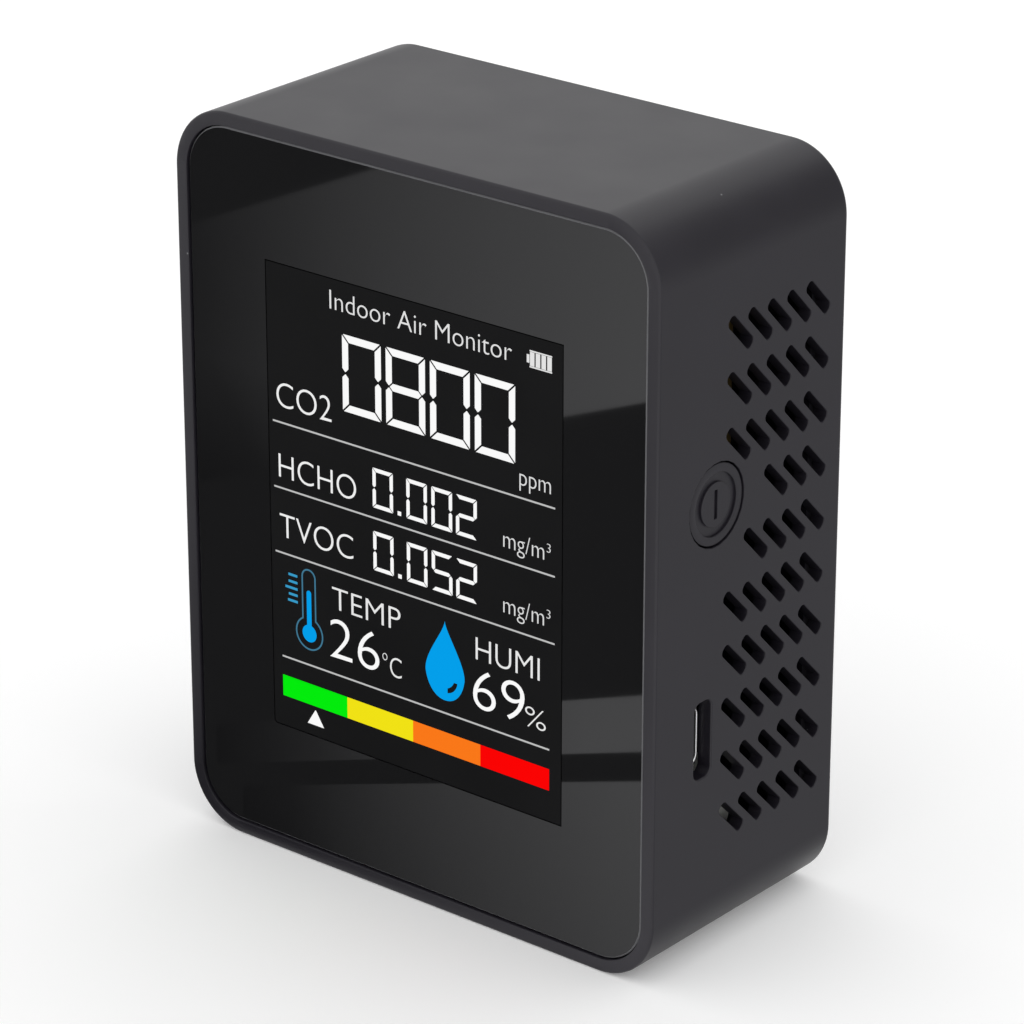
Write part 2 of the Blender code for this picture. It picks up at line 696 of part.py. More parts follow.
def make_button_and_switch():
    face = SIDE - BUTTON_SUNK
    seat = button_seat()
    flange_back = seat - BUTTON_FLANGE
    cap = turned(
        [
            (0, flange_back - face),
            (BUTTON_RADIUS + 3 * GAP, flange_back - face),
            (BUTTON_RADIUS + 3 * GAP, seat - face),
            (BUTTON_RADIUS, seat - face),
            (BUTTON_RADIUS, -BUTTON_SUNK),
            (BUTTON_RADIUS - BUTTON_SUNK, 0),
            (0, 0),
        ],
        segments=28,
    )
    place = (face, BUTTON_Y, BUTTON_HEIGHT)
    button = put("power_button", cap, place, ALONG_X, finish((0.018, 0.018, 0.02), 0.45))
    ring = turned(
        [
            (SYMBOL_INNER, -SYMBOL_DEPTH),
            (SYMBOL_OUTER, -SYMBOL_DEPTH),
            (SYMBOL_OUTER, GAP),
            (SYMBOL_INNER, GAP),
            (SYMBOL_INNER, -SYMBOL_DEPTH),
        ],
        segments=24,
    )
    bar = block(centred(BAR_LENGTH), centred(BAR_WIDTH), (-SYMBOL_DEPTH, GAP))
    cut(button, "symbol", join(ring, bar), place, ALONG_X)
    nub_tip = flange_back - BUTTON_NUB
    nub = block(
        centred(PLUNGER_HEIGHT),
        [switch_y() - BUTTON_Y + edge for edge in centred(PLUNGER_THICKNESS)],
        (nub_tip - face, flange_back - face + BUTTON_FLANGE / 2),
    )
    add(button, "nub", nub, place, ALONG_X)

    tip = nub_tip - GAP
    out = tip - PLUNGER_OUT
    place = (out, switch_y(), BUTTON_HEIGHT)
    body = soft_block(
        (-SWITCH_DEPTH, 0),
        centred(SWITCH_THICKNESS),
        centred(SWITCH_HEIGHT),
        0.2 * MM,
        1,
    )
    body = put("switch_body", body, place, material=finish((0.03, 0.03, 0.03), 0.5))
    well_depth = PLUNGER_LENGTH - PLUNGER_OUT + BUTTON_TRAVEL + GAP
    well = block(
        (-well_depth, GAP),
        centred(PLUNGER_THICKNESS + 2 * GAP),
        centred(PLUNGER_HEIGHT + 2 * GAP),
    )
    cut(body, "plunger_well", well, place)
    stem = block((-PLUNGER_LENGTH, 0), centred(PLUNGER_THICKNESS), centred(PLUNGER_HEIGHT))
    place = (tip, switch_y(), BUTTON_HEIGHT)
    put("switch_plunger", stem, place, material=finish((0.75, 0.75, 0.72), 0.4))


def make_sensors():
    front = BOARD_BACK + CO2_STANDOFF
    x_size, z_size, thickness = CO2_BOARD
    board = block(centred(x_size), (0, thickness), centred(z_size))
    place = (CO2_X, front, CO2_Z)
    put("co2_sensor_board", board, place, material=finish((0.01, 0.05, 0.16), 0.4))
    x_size, z_size, height = CO2_CHAMBER
    chamber = soft_block(centred(x_size), (0, height), centred(z_size), 0.8 * MM)
    chamber_back = front + thickness + GAP + height
    place = (CO2_X, chamber_back - height, CO2_Z)
    put("co2_sensor_chamber", chamber, place, material=finish((0.75, 0.6, 0.28), 0.3, 1.0))
    x_size, z_size, height = CO2_FILTER
    air_filter = block(centred(x_size), (0, height), centred(z_size))
    place = (CO2_X, chamber_back + GAP, CO2_Z)
    put("co2_sensor_filter", air_filter, place, material=finish((0.85, 0.85, 0.83), 0.9))
    pins = block(centred(2.5 * MM), (PARTS_BACK, front - GAP), centred(15 * MM))
    place = (CO2_X - CO2_BOARD[0] / 2 + 3 * MM, 0, CO2_Z)
    put("co2_sensor_header", pins, place, material=finish((0.02, 0.02, 0.02), 0.5))

    for name, radius, height, x, z, color, metallic in (
        ("formaldehyde_sensor", HCHO_RADIUS, HCHO_HEIGHT, HCHO_X, HCHO_Z, (0.8, 0.8, 0.78), 0.0),
        ("gas_sensor", TVOC_RADIUS, TVOC_HEIGHT, 1.5 * MM, 14 * MM, (0.6, 0.6, 0.6), 1.0),
    ):
        can = turned(
            [
                (0, 0),
                (radius, 0),
                (radius, height * 0.9),
                (radius * 0.9, height),
                (radius * 0.6, height),
                (radius * 0.6, height * 0.9),
                (0, height * 0.9),
            ]
        )
        put(name, can, (x, PARTS_BACK, z), ALONG_Y, finish(color, 0.35, metallic))


def make_cell():
    body = soft_block(
        centred(CELL_WIDTH),
        (CELL_BACK - CELL_THICKNESS, CELL_BACK),
        centred(CELL_HEIGHT),
        1.2 * MM,
    )
    put("battery_cell", body, (CELL_X, 0, CELL_MIDDLE), material=finish((0.6, 0.62, 0.64), 0.35, 0.6))
    tape = block(
        centred(CELL_WIDTH - 10 * MM),
        (CELL_BACK + GAP, CELL_BACK + GAP + CELL_TAPE),
        centred(CELL_HEIGHT - 10 * MM),
    )
    put("battery_tape", tape, (CELL_X, 0, CELL_MIDDLE), material=finish((0.75, 0.75, 0.72), 0.9))

    plug_x = CELL_X - PLUG_ASIDE
    plug_z = CELL_TOP + PLUG_ABOVE_CELL
    wall = PLUG_SOCKET_WALL + GAP
    box = block(
        centred(PLUG_WIDTH + 2 * wall),
        (PARTS_BACK, PARTS_BACK + PLUG_SOCKET_DEPTH),
        centred(PLUG_THICKNESS + 2 * wall),
    )
    box = put("battery_socket", box, (plug_x, 0, plug_z), material=finish((0.8, 0.78, 0.7), 0.5))
    pocket = block(
        centred(PLUG_WIDTH + 2 * GAP),
        (PARTS_BACK + PLUG_SOCKET_WALL, PARTS_BACK + PLUG_SOCKET_DEPTH + GAP),
        centred(PLUG_THICKNESS + 2 * GAP),
    )
    cut(box, "pocket", pocket, (plug_x, 0, plug_z))
    plug_front = PARTS_BACK + PLUG_SOCKET_WALL + GAP
    plug_back = plug_front + PLUG_LENGTH
    plug = block(centred(PLUG_WIDTH), (plug_front, plug_back), centred(PLUG_THICKNESS))
    put("battery_plug", plug, (plug_x, 0, plug_z), material=finish((0.82, 0.8, 0.74), 0.5))

    start = Vector((0, plug_back + GAP, plug_z))
    end = Vector((0, CELL_BACK - CELL_THICKNESS / 2, CELL_TOP + GAP))
    for name, side, color in (
        ("battery_lead_red", 1, (0.5, 0.01, 0.01)),
        ("battery_lead_black", -1, (0.015, 0.015, 0.015)),
    ):
        put_lead(name, plug_x + side * LEAD_SPACING / 2, start, end, finish(color, 0.4))


def put_lead(name, x, start, end, material):
    """A lead from the plug, which it leaves to the rear, round and down to the top of the cell."""
    reach = 3.2 * MM
    first = start + Vector((0, reach, 0))
    last = end + Vector((0, 0, 2 * reach))
    curve = bpy.data.curves.new(name, "CURVE")
    curve.dimensions = "3D"
    curve.bevel_depth = LEAD_RADIUS
    curve.bevel_resolution = 2
    curve.use_fill_caps = True
    spline = curve.splines.new("POLY")
    steps = 10
    spline.points.add(steps)
    for step, point in enumerate(spline.points):
        t = step / steps
        place = start * (1 - t) ** 3 + first * 3 * t * (1 - t) ** 2
        place += last * 3 * t * t * (1 - t) + end * t**3
        point.co = (x, place.y, place.z, 1.0)
    obj = bpy.data.objects.new(name, curve)
    material.name = name
    curve.materials.append(material)
    bpy.context.scene.collection.objects.link(obj)
    obj.parent = bpy.data.objects["monitor"]


# ---------------------------------------------------------------- rear cover


def cover_screw_seat():
    return COVER_BACK - SCREW_HEAD_HEIGHT - 2 * GAP


def cover_screw_tip():
    return cover_screw_seat() + GAP - COVER_SCREW_LENGTH


def make_rear_cover():
    trim = WALL + GAP
    outline = rounded(WIDTH - 2 * trim, HEIGHT - 2 * trim, CORNER_RADIUS - trim)
    plate = slab(outline, PAD_FRONT, COVER_BACK)
    soften(plate, 1, COVER_BACK, FRONT_EDGE, 1)
    cover = put("rear_cover", plate, (0, 0, MIDDLE), material=finish((0.018, 0.018, 0.02), 0.5))

    inset = trim + COVER_LIP
    inner = rounded(WIDTH - 2 * inset, HEIGHT - 2 * inset, CORNER_RADIUS - inset)
    cut(cover, "thinning", slab(inner, PAD_FRONT - GAP, COVER_FRONT), (0, 0, MIDDLE))
    seat = cover_screw_seat()
    for number, (x, z, _, _) in enumerate(boss_places(), 1):
        pad = drum(SCREW_HEAD + GAP + PAD_WALL, PAD_FRONT, COVER_FRONT + GAP, 16)
        add(cover, f"pad_{number}", pad, (x, 0, z), ALONG_Y)
        hole = turned(
            [
                (0, PAD_FRONT - GAP),
                (SCREW_SHANK + GAP, PAD_FRONT - GAP),
                (SCREW_SHANK + GAP, seat),
                (SCREW_HEAD + GAP, seat),
                (SCREW_HEAD + GAP, COVER_BACK + GAP),
                (0, COVER_BACK + GAP),
            ],
            segments=16,
        )
        cut(cover, f"hole_{number}", hole, (x, 0, z), ALONG_Y)
        put_screw(f"cover_screw_{number}", (x, seat + GAP, z), COVER_SCREW_LENGTH)


clear_scene()
monitor = bpy.data.objects.new("monitor", None)
bpy.context.scene.collection.objects.link(monitor)
make_housing()
make_front_panel()
make_display()
make_display_holder()
make_flex()
make_board()
make_chips()
make_socket()
make_button_and_switch()
make_sensors()
make_cell()
make_rear_cover()
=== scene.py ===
"""Looks of the desk-top carbon dioxide monitor: its pieces in the order they are put together.

Metres, +Z up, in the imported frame. The front panel faces -Y and the button side faces +X.
"""

import math

import bmesh
import bpy
from mathutils import Matrix, Vector


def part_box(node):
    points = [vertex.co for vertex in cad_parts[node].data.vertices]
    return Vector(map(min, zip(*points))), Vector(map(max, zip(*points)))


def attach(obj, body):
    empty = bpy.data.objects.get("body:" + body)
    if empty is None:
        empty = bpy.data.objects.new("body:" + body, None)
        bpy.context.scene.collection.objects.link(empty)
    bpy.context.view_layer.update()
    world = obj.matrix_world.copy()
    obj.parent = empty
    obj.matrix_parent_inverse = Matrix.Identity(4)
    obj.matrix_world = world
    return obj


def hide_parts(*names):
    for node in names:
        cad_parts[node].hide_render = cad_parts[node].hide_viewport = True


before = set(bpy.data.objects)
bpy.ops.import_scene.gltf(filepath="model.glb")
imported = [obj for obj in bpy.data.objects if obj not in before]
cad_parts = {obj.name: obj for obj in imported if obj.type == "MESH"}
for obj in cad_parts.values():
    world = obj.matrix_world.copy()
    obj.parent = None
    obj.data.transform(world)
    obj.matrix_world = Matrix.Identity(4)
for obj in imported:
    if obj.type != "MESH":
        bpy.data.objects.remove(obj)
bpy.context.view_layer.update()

# ---------------------------------------------------------------- Camera, floor and light
# The monitor stands on a pale floor in soft, even light, seen from its right and from above.
# Dark cards lie on the floor before it, out of the camera's sight: the glossy panel mirrors them.

MM = 0.001
case_low, case_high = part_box("main_housing")
panel_low, panel_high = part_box("front_panel")
panel_front = panel_low.y - 0.15 * MM

view_turn = math.radians(39.43)
view_rise = math.radians(22.58)
view_distance = 528.6 * MM
view_target = Vector((0, 0, (case_low.z + case_high.z) / 2))
toward_camera = Vector(
    (
        math.sin(view_turn) * math.cos(view_rise),
        -math.cos(view_turn) * math.cos(view_rise),
        math.sin(view_rise),
    )
)
camera_data = bpy.data.cameras.new("camera")
camera_data.sensor_width = 36.0
camera_data.lens = 161.9
camera_data.shift_x = 0.0045
camera_data.shift_y = -0.014
camera_data.clip_start = 0.01
camera_data.clip_end = 50.0
camera = bpy.data.objects.new("camera", camera_data)
bpy.context.scene.collection.objects.link(camera)
camera.location = view_target + toward_camera * view_distance
camera.rotation_euler = toward_camera.to_track_quat("Z", "Y").to_euler()
bpy.context.scene.camera = camera
bpy.context.scene.view_settings.view_transform = "Standard"

world = bpy.data.worlds.new("studio")
world.use_nodes = True
world.node_tree.nodes["Background"].inputs["Color"].default_value = (1.0, 1.0, 1.0, 1.0)
world.node_tree.nodes["Background"].inputs["Strength"].default_value = 1.0
bpy.context.scene.world = world


def plain_finish(name, color, roughness):
    """A finish for the floor, with a faint unevenness."""
    material = bpy.data.materials.new(name)
    material.use_nodes = True
    nodes = material.node_tree.nodes
    shader = nodes["Principled BSDF"]
    shader.inputs["Roughness"].default_value = roughness
    shader.inputs["Specular IOR Level"].default_value = 0.1
    shader.inputs["Emission Color"].default_value = (1.0, 1.0, 1.0, 1.0)
    shader.inputs["Emission Strength"].default_value = 0.12
    noise = nodes.new("ShaderNodeTexNoise")
    noise.inputs["Scale"].default_value = 9.0
    blend = nodes.new("ShaderNodeMix")
    blend.data_type = "RGBA"
    blend.inputs["A"].default_value = (*color, 1.0)
    blend.inputs["B"].default_value = (*(channel * 0.985 for channel in color), 1.0)
    material.node_tree.links.new(noise.outputs["Fac"], blend.inputs["Factor"])
    material.node_tree.links.new(blend.outputs["Result"], shader.inputs["Base Color"])
    return material


bpy.ops.object.select_all(action="DESELECT")
bpy.ops.mesh.primitive_plane_add(size=8.0, location=(0, 0, case_low.z - 0.02 * MM))
floor = bpy.context.object
floor.name = "floor"
floor.data.materials.append(plain_finish("pale_floor", (0.97, 0.97, 0.97), 0.8))


def mirrored_on_floor(x, z, height):
    """Where the camera sees, mirrored at this point of the panel, the level plane at this height."""
    behind = Vector((camera.location.x, 2 * panel_front - camera.location.y, camera.location.z))
    on_panel = Vector((x * MM, panel_front, z * MM))
    ray = on_panel - behind
    return on_panel + ray * ((height - on_panel.z) / ray.z)


def card(name, places, levels):
    """A card that only mirrors see, glowing as the levels at its two rows of points say."""
    count = len(places) // 2
    strips = [(n, n + 1, count + n + 1, count + n) for n in range(count - 1)]
    mesh = bpy.data.meshes.new(name)
    mesh.from_pydata(places, [], strips)
    glow = mesh.color_attributes.new("glow", "FLOAT_COLOR", "POINT")
    for level, value in zip(levels, glow.data):
        value.color = (level, level, level * 1.02, 1.0)
    piece = bpy.data.objects.new(name, mesh)
    bpy.context.scene.collection.objects.link(piece)
    material = bpy.data.materials.new(name)
    material.use_nodes = True
    nodes = material.node_tree.nodes
    nodes.remove(nodes["Principled BSDF"])
    emission = nodes.new("ShaderNodeEmission")
    level = nodes.new("ShaderNodeVertexColor")
    level.layer_name = "glow"
    material.node_tree.links.new(level.outputs["Color"], emission.inputs["Color"])
    material.node_tree.links.new(emission.outputs[0], nodes["Material Output"].inputs["Surface"])
    mesh.materials.append(material)
    piece.visible_camera = False
    piece.visible_diffuse = False
    piece.visible_shadow = False
    piece.visible_transmission = False


def mirrored_card(name, upper, lower, height):
    """A card given by what mirrors its rims on the panel: x and z there in mm, and the glow."""
    places = [mirrored_on_floor(x, z, height) for x, z, _ in upper + lower]
    card(name, places, [level for _, _, level in upper + lower])


def rim_at(start, slope, points):
    """Points on one of the slanting edges between light and dark, each with its glow."""
    return [(x, start + slope * x, level) for x, level in points]


band_height = 0.25 * MM
dark = ((-42, 0.035), (42, 0.035))
mirrored_card("card_dark", rim_at(125, 0, dark), rim_at(0.8, 0, dark), 0.1 * MM)
upper_glow = (
    (-34, 0.08), (-31, 0.1), (-23, 0.21), (-15, 0.34), (-7, 0.485),
    (1, 0.62), (9, 0.74), (17, 0.84), (25, 0.94), (31, 1.01), (42, 1.05),
)
faded = [(x, level * min(max((x + 27) / 30, 0), 1)) for x, level in upper_glow]
middle_row = [(x, max(60.0, 60.3 + 0.4 * x), level) for x, level in upper_glow]
mirrored_card("card_upper_band", rim_at(90.28, 0.45, upper_glow), middle_row, band_height)
mirrored_card("card_upper_band_low", middle_row, rim_at(56.86, 0.40, faded), band_height)
middle_glow = ((-31, 0.0), (-23, 0.06), (-15, 0.165), (25, 1.0), (42, 1.1))
middle_rims = rim_at(24.05, 0.357, middle_glow), rim_at(18.1, 0.33, middle_glow)
mirrored_card("card_middle_band", *middle_rims, band_height)
low_glow = ((-27, 0.0), (-19, 0.05), (-11, 0.2), (5, 0.5), (29, 0.93), (42, 1.05))
low_rim = [(x, 0.8, level * 0.8) for x, level in low_glow]
mirrored_card("card_low_band", rim_at(14.86, 0.32, low_glow), low_rim, band_height)

# The satin case mirrors the room more dimly toward its right: a grey floor and a dark wall there.
beside = [(x, y, 0.0001) for y in (0.6, -0.02) for x in (0.036, 0.6)]
card("card_beside", beside, [0.5] * 4)
dark_wall = [(x, 0.6, z) for z in (0.75, 0) for x in (0.1, 0.9)]
card("card_wall", dark_wall, [0.25] * 4)

# ---------------------------------------------------------------- Housing
# The one-piece case, injection moulded in black ABS with a fine satin surface. It is open to the
# rear, and a ledge inside its front rim takes the panel. Slanted air vents pierce both sides.

wall = 1.8 * MM
rim_width = 1.65 * MM
corner_radius = 7.7 * MM
front_edge = 0.3 * MM
rear_edge = 0.85 * MM
tiny = 1e-6
gap = 0.3 * MM
_, depth, height = case_high - case_low
case_middle = (case_low + case_high) / 2
front, back = case_low.y, case_high.y
side = case_high.x
inner_side = side - wall
ledge_front = panel_high.y + 0.9 * MM
ledge_back = ledge_front + 1.6 * MM


def select_only(*pieces):
    """Select these pieces alone and make the first one active."""
    bpy.ops.object.select_all(action="DESELECT")
    for piece in pieces:
        piece.select_set(True)
    if pieces:
        bpy.context.view_layer.objects.active = pieces[0]


def open_new(name):
    """Name the primitive just added, put its place in its mesh, and open it for editing."""
    bpy.ops.object.transform_apply(location=True, rotation=True, scale=True)
    piece = bpy.context.object
    piece.name = piece.data.name = name
    bpy.ops.object.mode_set(mode="EDIT")
    return piece


def start_block(name, low, high):
    """Add a block at its size and place and open it for editing."""
    select_only()
    low, high = Vector(low), Vector(high)
    bpy.ops.mesh.primitive_cube_add(size=1, location=(low + high) / 2, scale=high - low)
    return open_new(name)


def start_drum(name, radius, low, high, sides=48, turn=0.0):
    """Add a drum about +Z, from low to high, and open it for editing."""
    select_only()
    at, turned = (0, 0, (low + high) / 2), (0, 0, turn)
    bpy.ops.mesh.primitive_cylinder_add(
        vertices=sides, radius=radius, depth=high - low, location=at, rotation=turned
    )
    return open_new(name)


def pick(kind, test):
    """Select the corners (VERT), edges (EDGE) or faces (FACE) that pass a test."""
    bpy.ops.mesh.select_mode(type=kind)
    bpy.ops.mesh.select_all(action="DESELECT")
    mesh = bmesh.from_edit_mesh(bpy.context.object.data)
    parts = {"VERT": mesh.verts, "EDGE": mesh.edges, "FACE": mesh.faces}[kind]
    for part in parts:
        if test(part):
            part.select_set(True)
    bmesh.update_edit_mesh(bpy.context.object.data)


def level_edges(axis, place):
    """A test for edges that lie in the plane where the axis has this place."""
    return lambda edge: all(abs(vert.co[axis] - place) < tiny for vert in edge.verts)


def facing(axis, sign, place):
    """A test for faces that look along the axis and lie at this place on it."""
    return lambda face: (
        face.normal[axis] * sign > 0.99 and abs(face.calc_center_median()[axis] - place) < tiny
    )


def running(axis):
    """A test for edges that run along the axis."""

    def test(edge):
        along = edge.verts[1].co - edge.verts[0].co
        return abs(along[axis]) > 0.999 * along.length

    return test


def round_edges(test, radius, segments):
    pick("EDGE", test)
    bpy.ops.mesh.bevel(offset=radius, segments=segments, profile=0.5, affect="EDGES")


def push(x=0.0, y=0.0, z=0.0):
    bpy.ops.mesh.extrude_region_move(TRANSFORM_OT_translate={"value": (x, y, z)})


def close(piece, angle=30):
    """Leave edit mode, with round stretches shaded smooth."""
    bpy.ops.object.mode_set(mode="OBJECT")
    select_only(piece)
    bpy.ops.object.shade_smooth_by_angle(angle=math.radians(angle))
    return piece


def flatten_shading(piece):
    """Keep flat faces flat to the eye beside their rounded edges."""
    close(piece)
    weighted = piece.modifiers.new("weighted", "WEIGHTED_NORMAL")
    weighted.weight = 100
    weighted.keep_sharp = True
    bpy.ops.object.modifier_apply(modifier=weighted.name)
    return piece


def place(piece, matrix):
    """Turn and move the piece's mesh, so that its object stays at the origin."""
    piece.data.transform(matrix)
    if matrix.determinant() < 0:
        piece.data.flip_normals()
    piece.data.update()
    return piece


def combine(piece, tool, operation):
    """Cut the tool from the piece, or join it on, and take the tool away."""
    boolean = piece.modifiers.new("combine", "BOOLEAN")
    boolean.operation = operation
    boolean.solver = "EXACT"
    boolean.object = tool
    select_only(piece)
    bpy.ops.object.modifier_apply(modifier=boolean.name)
    bpy.data.objects.remove(tool)
    return piece


def join(name, pieces):
    """Make one object of several."""
    select_only(*pieces)
    if len(pieces) > 1:
        bpy.ops.object.join()
    pieces[0].name = pieces[0].data.name = name
    return pieces[0]


def grow(level, radius, new_level, new_radius):
    """Extrude the top face of an open drum to a new level and radius."""
    pick("FACE", facing(2, 1, level))
    push(z=new_level - level)
    factor = new_radius / radius
    bpy.ops.transform.resize(value=(factor, factor, 1), center_override=(0, 0, new_level))
    return new_level, new_radius


def slot_tool(corner, across, along, lip, start, end):
    """A cutter about +Z with a round-cornered outline, whose mouth flares by the lip at end."""
    steps = 4
    tool = start_drum("slot_tool", corner, start, end - lip, sides=24, turn=math.pi / 24)
    ring = (end - lip, corner)
    for step in range(1, steps + 2):
        turned = math.pi / 2 * min(step / steps, 1)
        level = end - lip + lip * math.sin(turned) if step <= steps else end + wall
        ring = grow(*ring, level, corner + lip * (1 - math.cos(turned)))
    for axis, reach in ((0, across / 2 - corner), (1, along / 2 - corner)):
        for sign in (-1, 1):
            pick("VERT", lambda vert: vert.co[axis] * sign > tiny)
            shift = [0.0, 0.0, 0.0]
            shift[axis] = sign * reach
            bpy.ops.transform.translate(value=shift)
    return close(tool)


# Each sends a point (u, v, w) to (w, u, v), (-w, u, v), (u, w, v) or (u, -w, v).
TO_RIGHT = Matrix(((0, 0, 1, 0), (1, 0, 0, 0), (0, 1, 0, 0), (0, 0, 0, 1)))
TO_LEFT = Matrix(((0, 0, -1, 0), (1, 0, 0, 0), (0, 1, 0, 0), (0, 0, 0, 1)))
TO_REAR = Matrix(((1, 0, 0, 0), (0, 0, 1, 0), (0, 1, 0, 0), (0, 0, 0, 1)))
TO_FRONT = Matrix(((1, 0, 0, 0), (0, 0, -1, 0), (0, 1, 0, 0), (0, 0, 0, 1)))


def middle_of(node):
    """The middle of a CAD piece's box."""
    low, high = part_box(node)
    return (low + high) / 2


def drum_along(node, radius, low, high, sides=48):
    """A drum on the axis of a CAD piece that points to the rear, from low to high."""
    at = middle_of(node)
    drum = close(start_drum("drum", radius, low, high, sides))
    return place(drum, Matrix.Translation((at.x, 0, at.z)) @ TO_REAR)


def copy_of(piece, name):
    """A copy of a piece, with its own mesh."""
    copy = piece.copy()
    copy.data = piece.data.copy()
    copy.name = copy.data.name = name
    bpy.context.scene.collection.objects.link(copy)
    return copy


def settle(piece, material, node, body="case"):
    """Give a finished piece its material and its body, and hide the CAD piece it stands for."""
    piece.data.materials.clear()
    piece.data.materials.append(material)
    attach(piece, body)
    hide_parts(node)


button_y = front + 10.56 * MM
button_z = case_low.z + 55.4 * MM
button_radius = 4.74 * MM
button_hole_radius = 4.96 * MM
socket_low, socket_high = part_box("socket_shell")
socket_middle = (socket_low + socket_high) / 2
port_thickness = 3.07 * MM
port_width = 9.36 * MM
vent_width = 1.5 * MM
vent_length = 5.6 * MM
vent_tilt = math.radians(45)
vent_rows, vent_row_pitch, vent_rise = 10, 6.45 * MM, 0.25 * MM
vent_columns, vent_column_pitch, vent_from_rear = 5, 3.54 * MM, 5.5 * MM
vent_margin = 0.65 * MM


def vent_is_clear(y, z):
    """Whether a vent on the button side stays clear of the button and of the charging slot."""
    half = (vent_length - vent_width) / 2
    for step in range(-4, 5):
        at_y = y + half * step / 4 * math.cos(vent_tilt)
        at_z = z - half * step / 4 * math.sin(vent_tilt)
        to_button = math.hypot(at_y - button_y, at_z - button_z) - button_hole_radius
        past_y = abs(at_y - socket_middle.y) - port_thickness / 2
        past_z = abs(at_z - socket_middle.z) - port_width / 2
        if min(to_button, max(past_y, past_z)) < vent_width / 2 + vent_margin:
            return False
    return True


housing = start_block("housing", case_low, case_high)
round_edges(running(1), corner_radius, 28)
round_edges(level_edges(1, front), front_edge, 4)
round_edges(level_edges(1, back), rear_edge, 6)
pick("FACE", facing(1, -1, front))
bpy.ops.mesh.inset(thickness=rim_width - front_edge, use_even_offset=True)
push(y=ledge_front - front)
pick("FACE", facing(1, 1, back))
bpy.ops.mesh.inset(thickness=wall - rear_edge, use_even_offset=True)
push(y=ledge_back - back)


def on_inner_edge(place, inset):
    """A test for the edges round the opening at the front or rear of the case."""

    def test(edge):
        middle = (edge.verts[0].co + edge.verts[1].co) / 2
        from_side = side - abs(middle.x)
        from_end = height / 2 - abs(middle.z - case_middle.z)
        in_corner = min(from_side, from_end) > corner_radius * 0.9
        into_corner = [max(corner_radius - distance, 0) for distance in (from_side, from_end)]
        return level_edges(1, place)(edge) and not in_corner and (
            min(from_side, from_end) > inset or math.hypot(*into_corner) < corner_radius - inset
        )

    return test


round_edges(on_inner_edge(front, rim_width - 0.05 * MM), 0.12 * MM, 2)
round_edges(on_inner_edge(back, wall - 0.05 * MM), 0.15 * MM, 2)
close(housing)

lcd_low, lcd_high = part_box("display_glass")
flex_low, flex_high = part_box("display_flex")
for low, high, top in ((lcd_low, lcd_high, lcd_high.z + gap), (flex_low, flex_high, case_middle.z)):
    tool = start_block(
        "ledge_tool",
        (low.x - gap, ledge_front - gap, low.z - gap),
        (high.x + gap, ledge_back + gap, top),
    )
    combine(housing, close(tool), "DIFFERENCE")

boss_radius, boss_sunk, pilot_radius = 2.3 * MM, 0.5 * MM, 0.9 * MM
cover_low, cover_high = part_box("rear_cover")
cover_screws = [f"cover_screw_{number}" for number in range(1, 5)]
for screw in cover_screws:
    boss = drum_along(screw, boss_radius, ledge_back - boss_sunk, cover_low.y - gap)
    combine(housing, boss, "UNION")
    pilot = drum_along(screw, pilot_radius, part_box(screw)[0].y - gap, cover_low.y, 24)
    combine(housing, pilot, "DIFFERENCE")

hole_width = 2 * button_hole_radius
button_hole = slot_tool(
    button_hole_radius, hole_width, hole_width, 0.08 * MM, inner_side - gap, side
)
place(button_hole, Matrix.Translation((0, button_y, button_z)) @ TO_RIGHT)
combine(housing, button_hole, "DIFFERENCE")
port = slot_tool(1.0 * MM, port_thickness, port_width, 0.2 * MM, inner_side - gap, side)
place(port, Matrix.Translation((0, socket_middle.y, socket_middle.z)) @ TO_RIGHT)
combine(housing, port, "DIFFERENCE")

vent_tool = slot_tool(0.62 * MM, vent_width, vent_length, 0.12 * MM, inner_side - gap, side)
vent_tools = []
for sign, turned in ((1, TO_RIGHT), (-1, TO_LEFT)):
    for row in range(vent_rows):
        z = case_middle.z + vent_rise + (row - (vent_rows - 1) / 2) * vent_row_pitch
        for column in range(vent_columns):
            y = back - vent_from_rear - column * vent_column_pitch
            if sign > 0 and not vent_is_clear(y, z):
                continue
            lean = Matrix.Rotation(-vent_tilt - math.pi / 2, 4, "X")
            to_place = Matrix.Translation((0, y, z)) @ lean @ turned
            vent_tools.append(place(copy_of(vent_tool, "vent_tool"), to_place))
bpy.data.objects.remove(vent_tool)
combine(housing, join("vent_tools", vent_tools), "DIFFERENCE")


def connect(*pairs):
    for start, end in pairs:
        start.id_data.links.new(start, end)


def feed(socket, value):
    """Give an input a number, a colour or another node's output."""
    if isinstance(value, bpy.types.NodeSocket):
        connect((value, socket))
    else:
        socket.default_value = (*value, 1.0) if isinstance(value, tuple) else value


def math_node(operation, first, second=0.0, clamp=False):
    """The outcome of an operation on numbers or other nodes' outputs, at least one of these."""
    known = first if isinstance(first, bpy.types.NodeSocket) else second
    node = known.id_data.nodes.new("ShaderNodeMath")
    node.operation = operation
    node.use_clamp = clamp
    feed(node.inputs[0], first)
    feed(node.inputs[1], second)
    return node.outputs[0]


def mix_color(factor, first, second):
    """A colour that goes from first to second as the factor, a node's output, goes from 0 to 1."""
    node = factor.id_data.nodes.new("ShaderNodeMix")
    node.data_type = "RGBA"
    for label, value in (("Factor", factor), ("A", first), ("B", second)):
        feed(node.inputs[label], value)
    return node.outputs["Result"]


def scale_color(color, factor):
    """A colour made darker or lighter by a factor."""
    node = color.id_data.nodes.new("ShaderNodeVectorMath")
    node.operation = "SCALE"
    connect((color, node.inputs[0]), (factor, node.inputs["Scale"]))
    return node.outputs[0]


def noise_node(vector, scale, detail=2.0, roughness=0.5):
    node = vector.id_data.nodes.new("ShaderNodeTexNoise")
    labels = ("Vector", "Scale", "Detail", "Roughness")
    for label, value in zip(labels, (vector, scale, detail, roughness)):
        feed(node.inputs[label], value)
    return node.outputs["Fac"]


